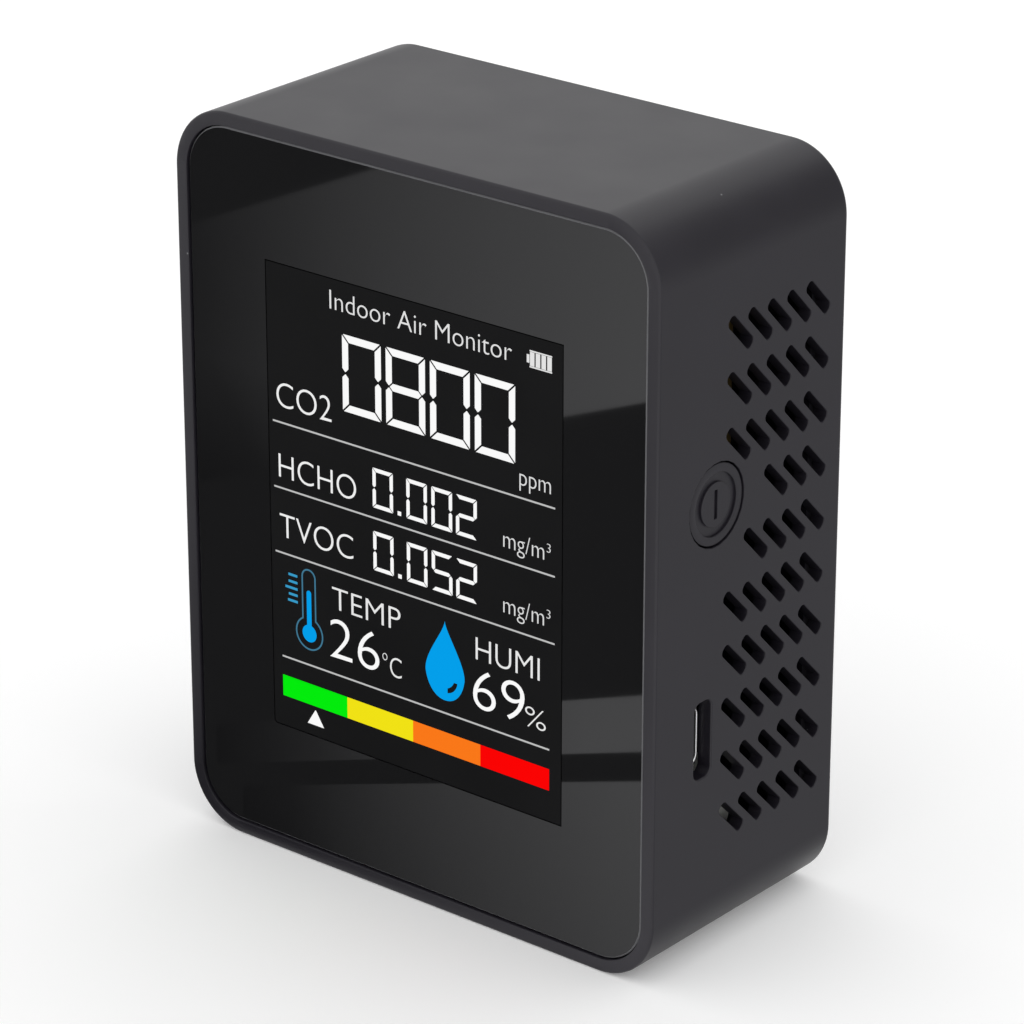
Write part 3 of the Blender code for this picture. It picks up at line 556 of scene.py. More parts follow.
def cells_node(vector, scale, shape="EUCLIDEAN"):
    """Cells of random sizes: how far each point lies from its cell's middle, and a random number."""
    nodes = vector.id_data.nodes
    cells = nodes.new("ShaderNodeTexVoronoi")
    cells.distance = shape
    feed(cells.inputs["Vector"], vector)
    feed(cells.inputs["Scale"], scale)
    chance = nodes.new("ShaderNodeSeparateColor")
    connect((cells.outputs["Color"], chance.inputs["Color"]))
    return cells.outputs["Distance"], chance.outputs["Red"]


def start_group(name, inputs, outputs=("Height",)):
    """A new node group that takes these inputs and gives colour, roughness and these outputs."""
    tree = bpy.data.node_groups.new(name, "ShaderNodeTree")
    for label, value in inputs:
        kind = "Color" if isinstance(value, tuple) else "Float"
        feed(tree.interface.new_socket(label, in_out="INPUT", socket_type=f"NodeSocket{kind}"), value)
    for label in ("Color", "Roughness", *outputs):
        kind = "Color" if label in ("Color", "Glow") else "Float"
        tree.interface.new_socket(label, in_out="OUTPUT", socket_type=f"NodeSocket{kind}")
    given = tree.nodes.new("NodeGroupInput").outputs
    result = tree.nodes.new("NodeGroupOutput").inputs
    vector = tree.nodes.new("ShaderNodeTexCoord").outputs["Object"]
    return tree, given, result, vector


def make_moulded_surface():
    """Node group: a moulded plastic surface with a fine grain, faint blotches and specks of dust."""
    inputs = [("Color", (0.02, 0.02, 0.02)), ("Roughness", 0.4), ("Grain", 4000.0), ("Dust", 0.5)]
    tree, given, result, vector = start_group("moulded_surface", inputs)
    grain = noise_node(vector, given["Grain"], 3.0)
    blotch = noise_node(vector, 90.0, 4.0)
    from_speck, chance = cells_node(vector, 420.0)
    near = math_node("LESS_THAN", from_speck, 0.045)
    few = math_node("LESS_THAN", chance, 0.06)
    dust = math_node("MULTIPLY", math_node("MULTIPLY", near, few), given["Dust"])
    shade = math_node("ADD", math_node("MULTIPLY", blotch, 0.5), 0.75)
    color = mix_color(dust, scale_color(given["Color"], shade), (0.35, 0.35, 0.36))
    uneven = math_node("MULTIPLY", math_node("SUBTRACT", blotch, 0.5), 0.12)
    rough = math_node("ADD", given["Roughness"], uneven, clamp=True)
    connect((color, result["Color"]), (rough, result["Roughness"]), (grain, result["Height"]))
    return tree


moulded_surface = make_moulded_surface()


def surface_material(name, group, values, bump, constants):
    """A material whose shader takes colour, roughness and bump from a node group."""
    material = bpy.data.materials.new(name)
    material.use_nodes = True
    tree = material.node_tree
    shader = tree.nodes["Principled BSDF"]
    source = tree.nodes.new("ShaderNodeGroup")
    source.node_tree = group
    for label, value in values.items():
        feed(source.inputs[label], value)
    connect(
        (source.outputs["Color"], shader.inputs["Base Color"]),
        (source.outputs["Roughness"], shader.inputs["Roughness"]),
    )
    if bump:
        bumps = tree.nodes.new("ShaderNodeBump")
        bumps.inputs["Strength"].default_value = bump[0]
        bumps.inputs["Distance"].default_value = bump[1]
        connect(
            (source.outputs["Height"], bumps.inputs["Height"]),
            (bumps.outputs["Normal"], shader.inputs["Normal"]),
        )
    for label, value in constants.items():
        shader.inputs[label].default_value = value
    return material


black_abs = surface_material(
    "black_abs",
    moulded_surface,
    {"Color": (0.0122, 0.0106, 0.0158), "Roughness": 0.42, "Grain": 5200.0, "Dust": 0.5},
    (0.25, 0.02 * MM),
    {"Specular IOR Level": 0.45},
)
settle(flatten_shading(housing), black_abs, "main_housing")

# ---------------------------------------------------------------- Front panel
# A sheet of black-backed acrylic, laser cut and polished, stuck to the ledge inside the rim. Its
# clear window shows the display, under an anti-glare film that takes the shine off it.

panel_gap = 0.15 * MM
window_width = 43.2 * MM
window_height = 57.6 * MM
panel = start_block(
    "front_panel_sheet",
    (-side + rim_width + panel_gap, panel_front, case_low.z + rim_width + panel_gap),
    (side - rim_width - panel_gap, panel_high.y, case_high.z - rim_width - panel_gap),
)
round_edges(running(1), corner_radius - rim_width - panel_gap, 28)
round_edges(level_edges(1, panel_front), 0.17 * MM, 1)
close(panel)
window_left = -window_width / 2
window_top = case_middle.z + window_height / 2


def window_block(name, inset, front_place, back_place, corner):
    """A block that fills the window but for the inset, with its lower left corner rounded."""
    block = start_block(
        name,
        (window_left + inset, front_place, window_top - window_height + inset),
        (-window_left - inset, back_place, window_top - inset),
    )

    def at_low_left(edge):
        return all(vert.co.x < 0 and vert.co.z < case_middle.z for vert in edge.verts)

    round_edges(lambda edge: running(1)(edge) and at_low_left(edge), corner, 6)
    return block


opening = window_block("opening", 0, panel_front - gap, panel_high.y + gap, 0.5 * MM)
combine(panel, close(opening), "DIFFERENCE")
flatten_shading(panel)


def make_polished_surface():
    """Node group: a polished sheet with faint smears and a gentle waviness."""
    inputs = [("Color", (0.01, 0.01, 0.01)), ("Roughness", 0.04), ("Smears", 0.03)]
    tree, given, result, vector = start_group("polished_surface", inputs)
    smear = noise_node(vector, 55.0, 5.0, 0.62)
    wave = noise_node(vector, 14.0, 1.0)
    extra = math_node("MULTIPLY", smear, given["Smears"])
    rough = math_node("ADD", given["Roughness"], extra, clamp=True)
    tone = scale_color(given["Color"], math_node("SUBTRACT", 1.1, math_node("MULTIPLY", smear, 0.2)))
    connect((tone, result["Color"]), (rough, result["Roughness"]), (wave, result["Height"]))
    return tree


polished_surface = make_polished_surface()
gloss_acrylic = surface_material(
    "gloss_acrylic",
    polished_surface,
    {"Color": (0.0085, 0.0085, 0.009), "Roughness": 0.015, "Smears": 0.035},
    None,
    {"IOR": 1.49},
)
settle(panel, gloss_acrylic, "front_panel")
# The chamfer round the panel's front gets a light grey colour. This is a painted highlight for the
# thin line of light that its polished edge catches.
chamfer_highlight = surface_material(
    "acrylic_chamfer_painted_highlight",
    polished_surface,
    {"Color": (0.2, 0.2, 0.21), "Roughness": 0.3, "Smears": 0.2},
    None,
    {"IOR": 1.49},
)
panel.data.materials.append(chamfer_highlight)
for face in panel.data.polygons:
    from_side = side - abs(face.center.x)
    from_end = height / 2 - abs(face.center.z - case_middle.z)
    if -0.9 < face.normal.y < -0.3 and min(from_side, from_end) < corner_radius:
        face.material_index = 1

seam = 0.14 * MM
window = window_block("display_window", seam, panel_front, panel_high.y, 0.4 * MM)
round_edges(level_edges(1, panel_front), 0.01 * MM, 1)
anti_glare = surface_material(
    "anti_glare_film",
    moulded_surface,
    {"Color": (0.0072, 0.0072, 0.0076), "Roughness": 0.6, "Grain": 9000.0, "Dust": 0.0},
    (0.1, 0.005 * MM),
    {"Specular IOR Level": 0.04},
)
settle(flatten_shading(window), anti_glare, "front_panel")


def dress(material, *nodes):
    """Give its finish to each CAD piece whose shape is right as it is."""
    for node in nodes:
        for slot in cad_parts[node].material_slots:
            slot.material = material


def make_soft_surface():
    """Node group: foam, tape or felt, with small cells or fibres and a mottled tone."""
    inputs = [("Color", (0.03, 0.03, 0.03)), ("Roughness", 0.9), ("Cells", 3000.0)]
    tree, given, result, vector = start_group("soft_surface", inputs)
    into_cell, _ = cells_node(vector, given["Cells"])
    depth = math_node("MULTIPLY", into_cell, 0.5)
    mottle = math_node("ADD", math_node("MULTIPLY", noise_node(vector, 300.0, 4.0), 0.4), 0.6)
    tone = scale_color(given["Color"], math_node("ADD", mottle, depth))
    rough = math_node("SUBTRACT", given["Roughness"], math_node("MULTIPLY", depth, 0.1))
    connect((tone, result["Color"]), (rough, result["Roughness"]), (into_cell, result["Height"]))
    return tree


soft_surface = make_soft_surface()


def soft(name, color, cells, strength, bump):
    """A matte foam or felt."""
    values = {"Color": color, "Roughness": 0.92, "Cells": cells}
    return surface_material(name, soft_surface, values, (strength, bump), {})


dress(soft("black_foam_tape", (0.03, 0.03, 0.03), 2600.0, 0.6, 0.05 * MM), "panel_adhesive")

# ---------------------------------------------------------------- What the display shows
# Lit areas of the liquid crystal panel: white readings, blue signs and a four-colour level bar.
# Each is a thin plate on the window. u runs right and v down from the window's upper left, in mm.

lit_back = panel_front + 0.02 * MM
lit_front = panel_front - 0.03 * MM
WHITE = (1.0, 1.0, 1.0)
BLUE = (0.0, 0.36, 0.86)
PALE_BLUE = (0.09, 0.32, 0.5)
DASH_BLUE = (0.05, 0.42, 0.75)


def grid_nodes(vector, pitch):
    """How far each point lies, along X and along Z, from the middle of its cell in a square grid."""
    apart = vector.id_data.nodes.new("ShaderNodeSeparateXYZ")
    connect((vector, apart.inputs[0]))
    shares = [math_node("FRACT", math_node("MULTIPLY", apart.outputs[axis], pitch)) for axis in "XZ"]
    return [math_node("ABSOLUTE", math_node("SUBTRACT", share, 0.5)) for share in shares]


def make_pixel_glow():
    """Node group: light from a fine grid of cells, a little uneven from place to place."""
    inputs = [("Color", (1.0, 1.0, 1.0)), ("Grid", 0.06)]
    tree, given, result, vector = start_group("pixel_glow", inputs, ("Glow",))
    lines = [math_node("GREATER_THAN", far, 0.42) for far in grid_nodes(vector, 1 / (0.18 * MM))]
    line = math_node("MULTIPLY", math_node("MAXIMUM", *lines), given["Grid"])
    cloud = math_node("MULTIPLY", noise_node(vector, 60.0), 0.06)
    dim = math_node("SUBTRACT", 1.0, math_node("ADD", line, cloud))
    glow = scale_color(given["Color"], dim)
    rough = math_node("ADD", 0.5, cloud)
    dark = mix_color(cloud, (0.001, 0.001, 0.001), (0.01, 0.01, 0.01))
    connect((glow, result["Glow"]), (rough, result["Roughness"]), (dark, result["Color"]))
    return tree


pixel_glow = make_pixel_glow()
lit_materials = {}


def finish_lit(piece, color, strength=1.0):
    """Give a lit area its light and fix it to the case."""
    key = (color, strength)
    if key not in lit_materials:
        name = f"lit_{len(lit_materials) + 1}"
        light = {"Emission Strength": strength, "Specular IOR Level": 0.0}
        material = surface_material(name, pixel_glow, {"Color": color}, None, light)
        tree = material.node_tree
        group = next(node for node in tree.nodes if node.type == "GROUP")
        connect((group.outputs["Glow"], tree.nodes["Principled BSDF"].inputs["Emission Color"]))
        lit_materials[key] = material
    piece.data.materials.clear()
    piece.data.materials.append(lit_materials[key])
    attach(piece, "case")
    return piece


def on_window(u, v):
    """The place on the window's front, in metres, of a point given in mm."""
    return Vector((window_left + u * MM, lit_back, window_top - v * MM))


def plate(name, u0, v0, u1, v1):
    """A lit plate with square corners."""
    low = on_window(u0, v1)
    high = on_window(u1, v0)
    return start_block(name, (low.x, lit_front, low.z), (high.x, lit_back, high.z))


def disc(name, u, v, radius, sides=64):
    """A lit round plate."""
    piece = close(start_drum(name, radius * MM, 0, lit_back - lit_front, sides))
    at = on_window(u, v)
    return place(piece, Matrix.Translation((at.x, lit_back, at.z)) @ TO_FRONT)


def deepen(tool):
    """Make a plate three times as thick, to cut through another."""
    thicker = Matrix.Translation((0, panel_front, 0)) @ Matrix.Diagonal((1, 3, 1, 1))
    return place(tool, thicker @ Matrix.Translation((0, -panel_front, 0)))


def letters(words, left, right, baseline, cap):
    """Lettering from left to right, standing on the baseline, with capitals of this height."""
    select_only()
    bpy.ops.object.text_add()
    piece = bpy.context.object
    piece.data.body = words
    piece.data.resolution_u = 6
    piece.data.offset = -0.014
    piece.data.extrude = 0.05
    bpy.ops.object.convert(target="MESH")
    piece = bpy.context.object
    bpy.ops.object.mode_set(mode="EDIT")
    bpy.ops.mesh.select_all(action="SELECT")
    bpy.ops.mesh.remove_doubles(threshold=0.0002)
    bpy.ops.mesh.normals_make_consistent(inside=False)
    close(piece)
    across = [vert.co.x for vert in piece.data.vertices]
    wide = (right - left) * MM / (max(across) - min(across))
    tall = cap * MM / 0.682
    thick = (lit_back - lit_front) / 0.1
    at = on_window(left, baseline)
    fit = Matrix.Diagonal((wide, tall, thick, 1))
    start = Matrix.Translation((-min(across), 0, 0.05))
    return place(piece, Matrix.Translation((at.x, lit_back, at.z)) @ TO_FRONT @ fit @ start)


def mitre(x, z, shift):
    """Slant a segment's end by shifting its corner at x and z."""
    pick("VERT", lambda vert: abs(vert.co.x - x) < tiny and abs(vert.co.z - z) < tiny)
    bpy.ops.transform.translate(value=shift)


def point_end(axis, end, cut):
    """Cut both corners off a segment's end."""
    round_edges(lambda edge: level_edges(axis, end)(edge) and running(1)(edge), cut * MM, 1)


def reading(name, text, lefts, top, baseline, digit_width, thickness, slit):
    """Digits of seven mitred segments each."""
    on = {"0": "abcdef", "2": "abged", "5": "afgcd", "8": "abcdefg"}
    middle = (top + baseline) / 2
    half = thickness / 2
    pieces = []
    for digit, left in zip(text, lefts):
        right = left + digit_width
        for letter in on[digit]:
            across = letter in "agd"
            if letter == "g":
                low, high = left + half + slit, right - half - slit
                bar = plate("bar", low, middle - half, high, middle + half)
                for end in (low, high):
                    point_end(0, on_window(end, middle).x, thickness / 2.05)
            elif across:
                v = top if letter == "a" else baseline - thickness
                bar = plate("bar", left + slit, v, right - slit, v + thickness)
                inner = on_window(0, v + thickness if letter == "a" else v).z
                for end, shift in ((left + slit, thickness), (right - slit, -thickness)):
                    mitre(on_window(end, 0).x, inner, (shift * MM, 0, 0))
            else:
                u = left if letter in "fe" else right - thickness
                upper = letter in "fb"
                high, low = (top + slit, middle - slit) if upper else (middle + slit, baseline - slit)
                bar = plate("bar", u, high, u + thickness, low)
                inner = on_window(u + thickness if letter in "fe" else u, 0).x
                outer_end, middle_end = (high, low) if upper else (low, high)
                shift = -thickness if upper else thickness
                mitre(inner, on_window(0, outer_end).z, (0, 0, shift * MM))
                point_end(2, on_window(0, middle_end).z, thickness / 2.2)
            pieces.append(close(bar))
    return join(name, pieces)


title = letters("Indoor Air Monitor", 9.7, 36.0, 3.7, 2.3)
title.name = "display_title"
finish_lit(title, WHITE, 0.8)

icon = [(38.1, 2.25, 38.45, 3.2), (38.5, 1.7, 41.6, 1.85), (38.5, 3.55, 41.6, 3.7)]
icon += [(38.55 + n * 0.8, 1.9, 38.55 + n * 0.8 + 0.6, 3.5) for n in range(4)]
finish_lit(join("battery_sign", [close(plate("bar", *bar)) for bar in icon]), WHITE, 0.8)

big_lefts = [11.48 + 6.43 * n for n in range(4)]
finish_lit(reading("reading_co2", "0800", big_lefts, 6.27, 15.5, 5.7, 0.87, 0.15), WHITE)
small_lefts = (15.76, 20.76, 24.43, 28.0)
for name, digits, top, baseline in (
    ("reading_hcho", "0002", 21.27, 26.1),
    ("reading_tvoc", "0052", 29.0, 33.8),
):
    number = reading(name, digits, small_lefts, top, baseline, 3.0, 0.46, 0.08)
    dot = close(plate("dot", 19.45, baseline - 0.5, 19.95, baseline))
    finish_lit(join(name, [number, dot]), WHITE)

for name, words, left, right, baseline, cap, strength in (
    ("label_co2", "CO2", 1.4, 9.7, 17.4, 3.06, 0.9),
    ("unit_co2", "ppm", 37.1, 41.5, 17.8, 2.1, 0.75),
    ("label_hcho", "HCHO", 1.53, 13.26, 26.1, 2.96, 0.9),
    ("unit_hcho", "mg/m³", 34.8, 41.5, 25.8, 2.1, 0.75),
    ("label_tvoc", "TVOC", 1.53, 12.7, 33.5, 2.96, 0.9),
    ("unit_tvoc", "mg/m³", 34.8, 41.5, 33.7, 2.1, 0.75),
    ("label_temperature", "TEMP", 9.4, 19.7, 40.4, 2.8, 0.85),
    ("reading_temperature", "26", 9.0, 16.45, 46.5, 4.95, 1.0),
    ("unit_temperature", "°C", 16.95, 19.8, 46.35, 2.5, 0.85),
    ("label_humidity", "HUMI", 30.8, 40.0, 40.6, 2.8, 0.85),
    ("reading_humidity", "69", 30.4, 37.85, 46.6, 4.95, 1.0),
    ("unit_humidity", "%", 37.95, 40.9, 46.6, 2.5, 0.85),
):
    label = letters(words, left, right, baseline, cap)
    label.name = name
    finish_lit(label, WHITE, strength)

rules = ((19.3, 0.77, 42.1), (27.4, 0.77, 42.1), (35.5, 0.77, 42.1), (48.6, 1.53, 41.4))
for number, (v, left, right) in enumerate(rules, 1):
    line = close(plate(f"line_{number}", left, v - 0.1, right, v + 0.1))
    finish_lit(line, WHITE, 0.55)


def thermometer_shape(name, bulb, half_width, top, bulb_v=44.6, u=5.8):
    """A round bulb with a tube that rises from it to a round top."""
    tube = plate(name, u - half_width, top, u + half_width, bulb_v)
    at_top = level_edges(2, on_window(0, top).z)
    round_edges(lambda edge: running(1)(edge) and at_top(edge), half_width * 0.98 * MM, 10)
    return combine(close(tube), disc("bulb", u, bulb_v, bulb), "UNION")


outline = thermometer_shape("thermometer_outline", 2.1, 1.08, 36.5)
combine(outline, deepen(thermometer_shape("hollow", 1.91, 0.89, 36.69)), "DIFFERENCE")
finish_lit(close(outline), PALE_BLUE, 0.6)
finish_lit(close(thermometer_shape("thermometer_stem", 1.07, 0.34, 39.2)), BLUE)
dashes = []
for v, left in zip((37.9, 38.75, 39.55, 40.35, 41.15), (2.7, 2.7, 2.2, 2.7, 2.55)):
    dashes.append(close(plate("dash", left, v - 0.15, 4.05, v + 0.15)))
finish_lit(join("thermometer_dashes", dashes), DASH_BLUE, 0.8)

drop_u, drop_v, drop_radius = 26.27, 44.2, 2.8
select_only()
bpy.ops.curve.primitive_bezier_circle_add(radius=drop_radius)
drop = bpy.context.object
points = drop.data.splines[0].bezier_points
top = max(points, key=lambda point: point.co.y)
top.handle_left_type = top.handle_right_type = "FREE"
top.co.y = 6.95
top.handle_left = (-0.12, 5.6, 0) if top.handle_left.x < 0 else (0.12, 5.6, 0)
top.handle_right = (-top.handle_left.x, 5.6, 0)
for point in points:
    if abs(point.co.x) > 1:
        point.handle_left_type = point.handle_right_type = "FREE"
        upper = point.handle_left if point.handle_left.y > 0 else point.handle_right
        upper.y = 1.9
drop.data.dimensions = "2D"
drop.data.fill_mode = "BOTH"
drop.data.resolution_u = 20
drop.data.extrude = 0.5
bpy.ops.object.convert(target="MESH")
drop = bpy.context.object
drop.name = drop.data.name = "droplet"
bpy.ops.object.mode_set(mode="EDIT")
bpy.ops.mesh.select_all(action="SELECT")
bpy.ops.mesh.remove_doubles(threshold=0.001)
bpy.ops.mesh.normals_make_consistent(inside=False)
close(drop)
at = on_window(drop_u, drop_v)
at.y = (lit_back + lit_front) / 2
to_size = Matrix.Diagonal((MM, MM, lit_back - lit_front, 1))
place(drop, Matrix.Translation(at) @ TO_FRONT @ to_size)
glint = deepen(disc("glint", drop_u, drop_v, 1.85))
combine(glint, deepen(deepen(disc("inner", drop_u - 0.17, drop_v - 0.25, 1.55))), "DIFFERENCE")
quarter = close(plate("quarter", drop_u + 0.35, drop_v + 0.25, drop_u + 2.2, drop_v + 2.2))
combine(glint, deepen(deepen(quarter)), "INTERSECT")
combine(drop, glint, "DIFFERENCE")
finish_lit(close(drop), BLUE)

levels = (
    ("green", (0.0, 0.87, 0.003)),
    ("yellow", (0.91, 0.79, 0.007)),
    ("orange", (1.0, 0.195, 0.009)),
    ("red", (1.0, 0.0, 0.0)),
)
bar_left, bar_right, bar_top, bar_bottom = 1.53, 41.4, 51.0, 53.65
part = (bar_right - bar_left) / len(levels)
for number, (name, color) in enumerate(levels):
    left = bar_left + number * part
    finish_lit(close(plate(f"level_{name}", left, bar_top, left + part, bar_bottom)), color)
pointer_u, pointer_top = 6.53, 54.2
pointer = plate("level_pointer", pointer_u - 1.25, pointer_top, pointer_u + 1.25, 56.1)
pick("VERT", lambda vert: abs(vert.co.z - on_window(0, pointer_top).z) < tiny)
bpy.ops.transform.resize(value=(0.04, 1, 1), center_override=on_window(pointer_u, pointer_top))
finish_lit(close(pointer), WHITE)

# ---------------------------------------------------------------- Display module
# The liquid crystal panel: a glass sandwich, a clear guide that spreads its light, and a stamped
# steel tray behind. They are clipped together and stand in the case's window.


def make_metal_surface():
    """Node group: rolled or plated metal with fine lines, dull patches and, in foil, dents."""
    inputs = [("Color", (0.6, 0.6, 0.61)), ("Roughness", 0.3), ("Lines", 2500.0), ("Dull", 0.2)]
    inputs.append(("Dents", 0.0))
    tree, given, result, vector = start_group("metal_surface", inputs)
    stretched = tree.nodes.new("ShaderNodeMapping")
    stretched.inputs["Scale"].default_value = (1.0, 1.0, 0.03)
    connect((vector, stretched.inputs["Vector"]))
    lines = noise_node(stretched.outputs[0], given["Lines"], 2.0)
    patches = noise_node(vector, 160.0, 4.0)
    dulled = math_node("MULTIPLY", patches, given["Dull"])
    worn = math_node("ADD", dulled, math_node("MULTIPLY", lines, 0.12))
    tone = scale_color(given["Color"], math_node("SUBTRACT", 1.1, worn))
    rough = math_node("ADD", given["Roughness"], worn, clamp=True)
    dents = math_node("MULTIPLY", noise_node(vector, 240.0, 2.0), given["Dents"])
    height = math_node("ADD", dents, math_node("MULTIPLY", lines, 0.1))
    connect((tone, result["Color"]), (rough, result["Roughness"]), (height, result["Height"]))
    return tree


metal_surface = make_metal_surface()


def metal(name, color, roughness, lines=2500.0, dull=0.2, dents=0.0, bump=0.02 * MM):
    values = {"Color": color, "Roughness": roughness, "Lines": lines, "Dull": dull, "Dents": dents}
    return surface_material(name, metal_surface, values, (0.4, bump), {"Metallic": 1.0})


def plastic(name, color, roughness, grain=3500.0, dust=0.1):
    values = {"Color": color, "Roughness": roughness, "Grain": grain, "Dust": dust}
    return surface_material(name, moulded_surface, values, (0.2, 0.02 * MM), {})


def polished(name, color, roughness, smears=0.05, **constants):
    values = {"Color": color, "Roughness": roughness, "Smears": smears}
    return surface_material(name, polished_surface, values, (0.1, 0.01 * MM), constants)


dress(polished("liquid_crystal_glass", (0.01, 0.01, 0.012), 0.03, IOR=1.52), "display_glass")
dress(polished("clear_light_guide", (0.72, 0.75, 0.78), 0.12), "light_guide")
dress(metal("stamped_steel", (0.6, 0.6, 0.61), 0.32, 1800.0), "display_tray")

# ---------------------------------------------------------------- Display holder and flex
# A white frame, moulded in one piece, presses the display to the case and stands it off the board
# on four posts. An amber printed film folds down and back to its connector on the board.

white_plastic = plastic("white_moulding", (0.7, 0.7, 0.67), 0.5)
dress(white_plastic, "display_holder", "flex_connector")


def make_board_surface():
    """Node group: lacquer over copper traces that run up or across by patches, with bare pads."""
    inputs = [("Color", (0.01, 0.12, 0.05)), ("Copper", (0.02, 0.2, 0.08)), ("Pitch", 1250.0)]
    inputs.append(("Pads", 0.07))
    tree, given, result, vector = start_group("board_surface", inputs)
    runs = [math_node("LESS_THAN", far, 0.16) for far in grid_nodes(vector, given["Pitch"])]
    _, way = cells_node(vector, 170.0, "CHEBYCHEV")
    across = math_node("MULTIPLY", runs[0], math_node("LESS_THAN", way, 0.42))
    upward = math_node("MULTIPLY", runs[1], math_node("GREATER_THAN", way, 0.58))
    traces = math_node("MAXIMUM", across, upward)
    from_dot, _ = cells_node(vector, 330.0)
    pads = math_node("LESS_THAN", from_dot, given["Pads"])
    lacquer = mix_color(traces, given["Color"], given["Copper"])
    color = mix_color(pads, lacquer, (0.55, 0.42, 0.16))
    rough = math_node("ADD", 0.3, math_node("MULTIPLY", noise_node(vector, 500.0), 0.2))
    height = math_node("MAXIMUM", traces, pads)
    connect((color, result["Color"]), (rough, result["Roughness"]), (height, result["Height"]))
    return tree


board_surface = make_board_surface()


def printed(name, color, copper, pitch=1250.0, pads=0.07):
    values = {"Color": color, "Copper": copper, "Pitch": pitch, "Pads": pads}
    return surface_material(name, board_surface, values, (0.5, 0.03 * MM), {})


dress(printed("amber_film", (0.45, 0.2, 0.03), (0.6, 0.3, 0.06), 2000.0, 0.0), "display_flex")

# ---------------------------------------------------------------- Main board
# A two-sided board of glass-fibre laminate under green lacquer, held by four screws that go into
# the holder's posts. The chips are moulded in black epoxy; the crystal has a pressed steel can.

dress(printed("green_board", (0.006, 0.06, 0.025), (0.012, 0.11, 0.05)), "main_board")
black_epoxy = plastic("black_epoxy", (0.018, 0.018, 0.018), 0.55, 7000.0)
dress(black_epoxy, "humidity_sensor")
dress(metal("crystal_can", (0.66, 0.66, 0.67), 0.25, 3500.0), "crystal")


def add_chip(node, legs, leg_width, leg_reach):
    """A chip that replaces its CAD block: bevelled body, dimple by its first leg, and bent legs."""
    low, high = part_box(node)
    body = start_block(f"{node}_body", low + Vector((0, 0.1 * MM, 0)), high)
    round_edges(level_edges(1, high.y), 0.12 * MM, 1)
    pick("FACE", facing(1, 1, high.y))
    bpy.ops.mesh.inset(thickness=0.05 * MM)
    close(body)
    dimple = start_drum("dimple", 0.35 * MM, high.y - 0.06 * MM, high.y + gap, 24)
    place(close(dimple), Matrix.Translation((low.x + 0.9 * MM, 0, high.z - 0.9 * MM)) @ TO_REAR)
    combine(body, dimple, "DIFFERENCE")
    legs_made = []
    leg_half = 0.08 * MM
    middle = (low + high) / 2
    for sign in (-1, 1):
        for number in range(legs):
            at = middle.z + (number - (legs - 1) / 2) * (high.z - low.z - leg_width * 2) / legs
            edge = middle.x + sign * (high.x - low.x) / 2
            span = sorted((edge - sign * 0.1 * MM, edge + sign * leg_reach / 2))
            leg = start_block(
                "leg",
                (span[0], middle.y - leg_half, at - leg_width / 2),
                (span[1], middle.y + leg_half, at + leg_width / 2),
            )
            pick("FACE", facing(0, sign, edge + sign * leg_reach / 2))
            push(x=sign * leg_reach * 0.15, y=low.y - middle.y + leg_half)
            push(x=sign * leg_reach * 0.35)
            legs_made.append(close(leg))
    settle(body, black_epoxy, node)
    settle(join(f"{node}_legs", legs_made), tinned, node)


tinned = metal("tinned_legs", (0.72, 0.72, 0.7), 0.28, 5000.0)
add_chip("controller_chip", 12, 0.25 * MM, 1.0 * MM)
add_chip("charger_chip", 4, 0.45 * MM, 1.0 * MM)

coil_low, coil_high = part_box("power_inductor")
coil = start_block("power_inductor_ferrite", coil_low, coil_high)
round_edges(running(1), 0.7 * MM, 4)
pick("FACE", facing(1, 1, coil_high.y))
bpy.ops.mesh.inset(thickness=0.35 * MM)
push(y=-0.25 * MM)
round_edges(level_edges(1, coil_high.y), 0.1 * MM, 2)
ferrite = plastic("ferrite", (0.035, 0.034, 0.035), 0.7, 1500.0, 0.3)
settle(flatten_shading(coil), ferrite, "power_inductor")

# ---------------------------------------------------------------- Charging socket
# A drawn steel shell, soldered to the front of the board behind its slot. Slanting corners on its
# rear side let the plug in one way round. Its black tongue carries five gold-plated springs.

shell_wall = 0.32 * MM
slant = 0.95 * MM
mouth = socket_high.x
shell = start_block("socket_shell_steel", socket_low, socket_high)
pick("EDGE", lambda edge: running(0)(edge) and level_edges(1, socket_high.y)(edge))
bpy.ops.mesh.bevel(offset=slant, segments=1, affect="EDGES")
round_edges(running(0), 0.45 * MM, 4)
pick("FACE", facing(0, 1, mouth))
bpy.ops.mesh.inset(thickness=shell_wall)
push(x=socket_low.x - mouth + shell_wall)
round_edges(level_edges(0, mouth), 0.14 * MM, 4)
nickel = metal("nickel_plate", (0.9, 0.9, 0.91), 0.12, 1500.0, 0.05)
settle(flatten_shading(shell), nickel, "socket_shell")

tongue_low, tongue_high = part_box("socket_tongue")
blade_half = 0.3 * MM
blade_start = tongue_low.x + 1.6 * MM
blade_inset = 0.1 * MM
middle = (tongue_low + tongue_high) / 2
tongue = start_block("socket_tongue_body", tongue_low, (blade_start, *tongue_high.yz))
pick("FACE", facing(0, 1, blade_start))
bpy.ops.mesh.inset(thickness=blade_inset)
narrow = blade_half / ((tongue_high.y - tongue_low.y) / 2 - blade_inset)
blade_middle = (blade_start, middle.y, middle.z)
bpy.ops.transform.resize(value=(1, narrow, 1), center_override=blade_middle)
push(x=tongue_high.x - blade_start)
round_edges(level_edges(0, tongue_high.x), 0.12 * MM, 2)
socket_black = plastic("socket_black", (0.012, 0.012, 0.012), 0.45, 6000.0, 0.0)
settle(close(tongue), socket_black, "socket_tongue")
springs = []
for number in range(5):
    z = middle.z + (number - 2) * 0.65 * MM
    low = (tongue_low.x + 1.7 * MM, middle.y - blade_half - 0.04 * MM, z - 0.16 * MM)
    high = (tongue_high.x - 0.25 * MM, middle.y - blade_half + 0.03 * MM, z + 0.16 * MM)
    spring = start_block("spring", low, high)
    round_edges(lambda edge: running(1)(edge) and level_edges(0, high[0])(edge), 0.1 * MM, 3)
    springs.append(close(spring))
